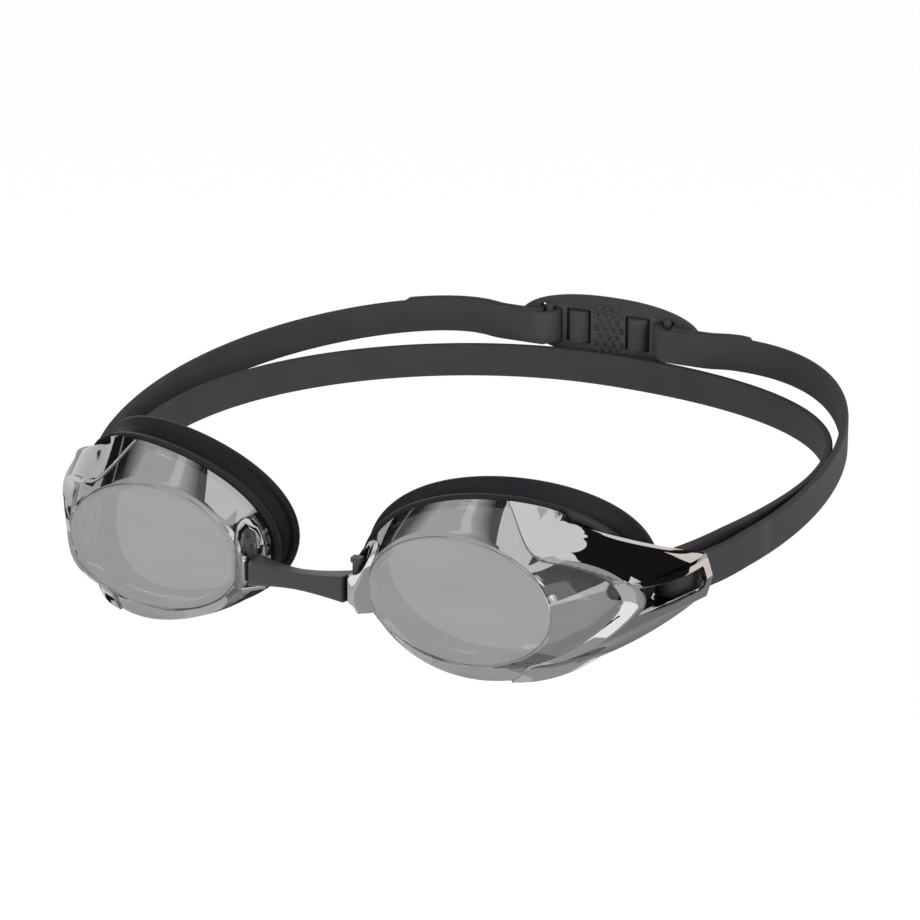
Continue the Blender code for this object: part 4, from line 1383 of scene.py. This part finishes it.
def makeWorld():
    world = bpy.data.worlds.new("studio")
    world.use_nodes = True
    bpy.context.scene.world = world
    tree = world.node_tree
    background = tree.nodes["Background"]
    background.inputs["Color"].default_value = (1.0, 1.0, 1.0, 1.0)
    strength = ranged(tree, seenDirectly(tree), 0.0, 1.0, studio["worldLight"], 1.0)
    wire(tree, strength, background.inputs["Strength"])


def showMixed(tree, share, first, second):
    # two shaders mixed by a share, as the material's surface
    mix = put(tree, "MixShader")
    for i, source in enumerate((share, first, second)):
        wire(tree, source, mix.inputs[i])
    wire(tree, mix.outputs["Shader"], tree.nodes["Material Output"].inputs["Surface"])


def makeFloor():
    half = studio["floorSize"] / 2
    mesh = bmesh.new()
    mesh.faces.new([mesh.verts.new((x * half, y * half, -studio["floorDrop"])) for x, y in cornerSigns])
    floor = linked("floor", mesh)
    material, tree, shader = newMaterial("floor_paper", Roughness=1.0)
    shader.inputs["Base Color"].default_value = (*studio["floorTint"], 1.0)
    shader.inputs["Specular IOR Level"].default_value = 0.0
    glow = put(tree, "Emission", {"Strength": studio["floorLevel"]})
    share = ranged(tree, seenDirectly(tree), 0.0, 1.0, 0.0, studio["floorGlow"])
    showMixed(tree, share, shader.outputs["BSDF"], glow.outputs["Emission"])
    floor.data.materials.append(material)


def cardPlace(azimuth, elevation, nearer):
    # kept over the floor
    below = max(tiny, sin(radians(-elevation)))
    reach = (studio["floorDrop"] - studio["cardLift"] + nearer / 10) / below
    return toward(azimuth, elevation) * min(studio["cardDistance"] - nearer, reach)


def makeCard(nearer, name, azimuths, elevations, level, fades=(0.0, 0.0)):
    # card bent round the object between two azimuths; fades soften its two upright edges
    mesh = bmesh.new()
    shares = mesh.verts.layers.float.new("across")
    columns = studio["cardColumns"]
    rows = studio["cardRows"]
    low, top = elevations[:2]
    grid = []
    for i in range(columns + 1):
        share = i / columns
        azimuth = between(*azimuths, share)
        high = between(top, elevations[-1], share)
        places = [cardPlace(azimuth, between(low, high, k / rows), nearer) for k in range(rows + 1)]
        grid.append([mesh.verts.new(place) for place in places])
        for vertex in grid[-1]:
            vertex[shares] = share
    for line, after in zip(grid, grid[1:]):
        for k in range(rows):
            mesh.faces.new((line[k], line[k + 1], after[k + 1], after[k]))
    card = linked(name, mesh)
    for ray in ("camera", "diffuse", "transmission", "shadow", "volume_scatter"):
        setattr(card, "visible_" + ray, False)
    material, tree, _ = newMaterial(name)
    tint = (*cardTints.get(level, (1.0, 1.0, 1.0)), 1.0)
    glow = put(tree, "Emission", {"Color": tint, "Strength": cardLevels[level]})
    across = put(tree, "Attribute", attribute_name="across").outputs["Fac"]
    soft = [max(tiny, fade) for fade in fades]
    rise = ranged(tree, across, 0.0, soft[0], 0.0, 1.0)
    fall = ranged(tree, across, 1.0 - soft[1], 1.0, 1.0, 0.0)
    gone = put(tree, "BsdfTransparent")
    showMixed(tree, combined(tree, "MULTIPLY", rise, fall), gone.outputs["BSDF"], glow.outputs["Emission"])
    card.data.materials.append(material)


def makeCamera():
    azimuth = radians(studio["azimuth"])
    back = toward(studio["azimuth"], studio["elevation"])
    right = flat(cos(azimuth), sin(azimuth))
    data = bpy.data.cameras.new("camera")
    data.sensor_width = studio["sensor"]
    data.lens = studio["focal"] / studio["frame"] * studio["sensor"]
    data.clip_start = studio["clipStart"]
    camera = added("camera", data)
    turn = Matrix((right, back.cross(right), back)).transposed().to_4x4()
    camera.matrix_world = Matrix.Translation(Vector(studio["cameraPlace"])) @ turn
    bpy.context.scene.camera = camera


def makeLamp(name, place, size, power):
    data = bpy.data.lights.new(name, "AREA")
    data.shape = "RECTANGLE"
    data.size, data.size_y = size
    data.energy = power
    lamp = added(name, data)
    lamp.location = place
    lamp.visible_glossy = False     # the cards stand for the lamps in the mirrors
    aim = Vector(studio["lampTarget"]) - Vector(place)
    lamp.rotation_euler = aim.to_track_quat("-Z", "Y").to_euler()


makeWorld()
makeFloor()
for i, card in enumerate(cards):
    makeCard(studio["cardStep"] * i, *card)
makeCamera()
for lamp in lamps:
    makeLamp(*lamp)
bpy.context.scene.view_settings.view_transform = "Standard"
print("stage made")
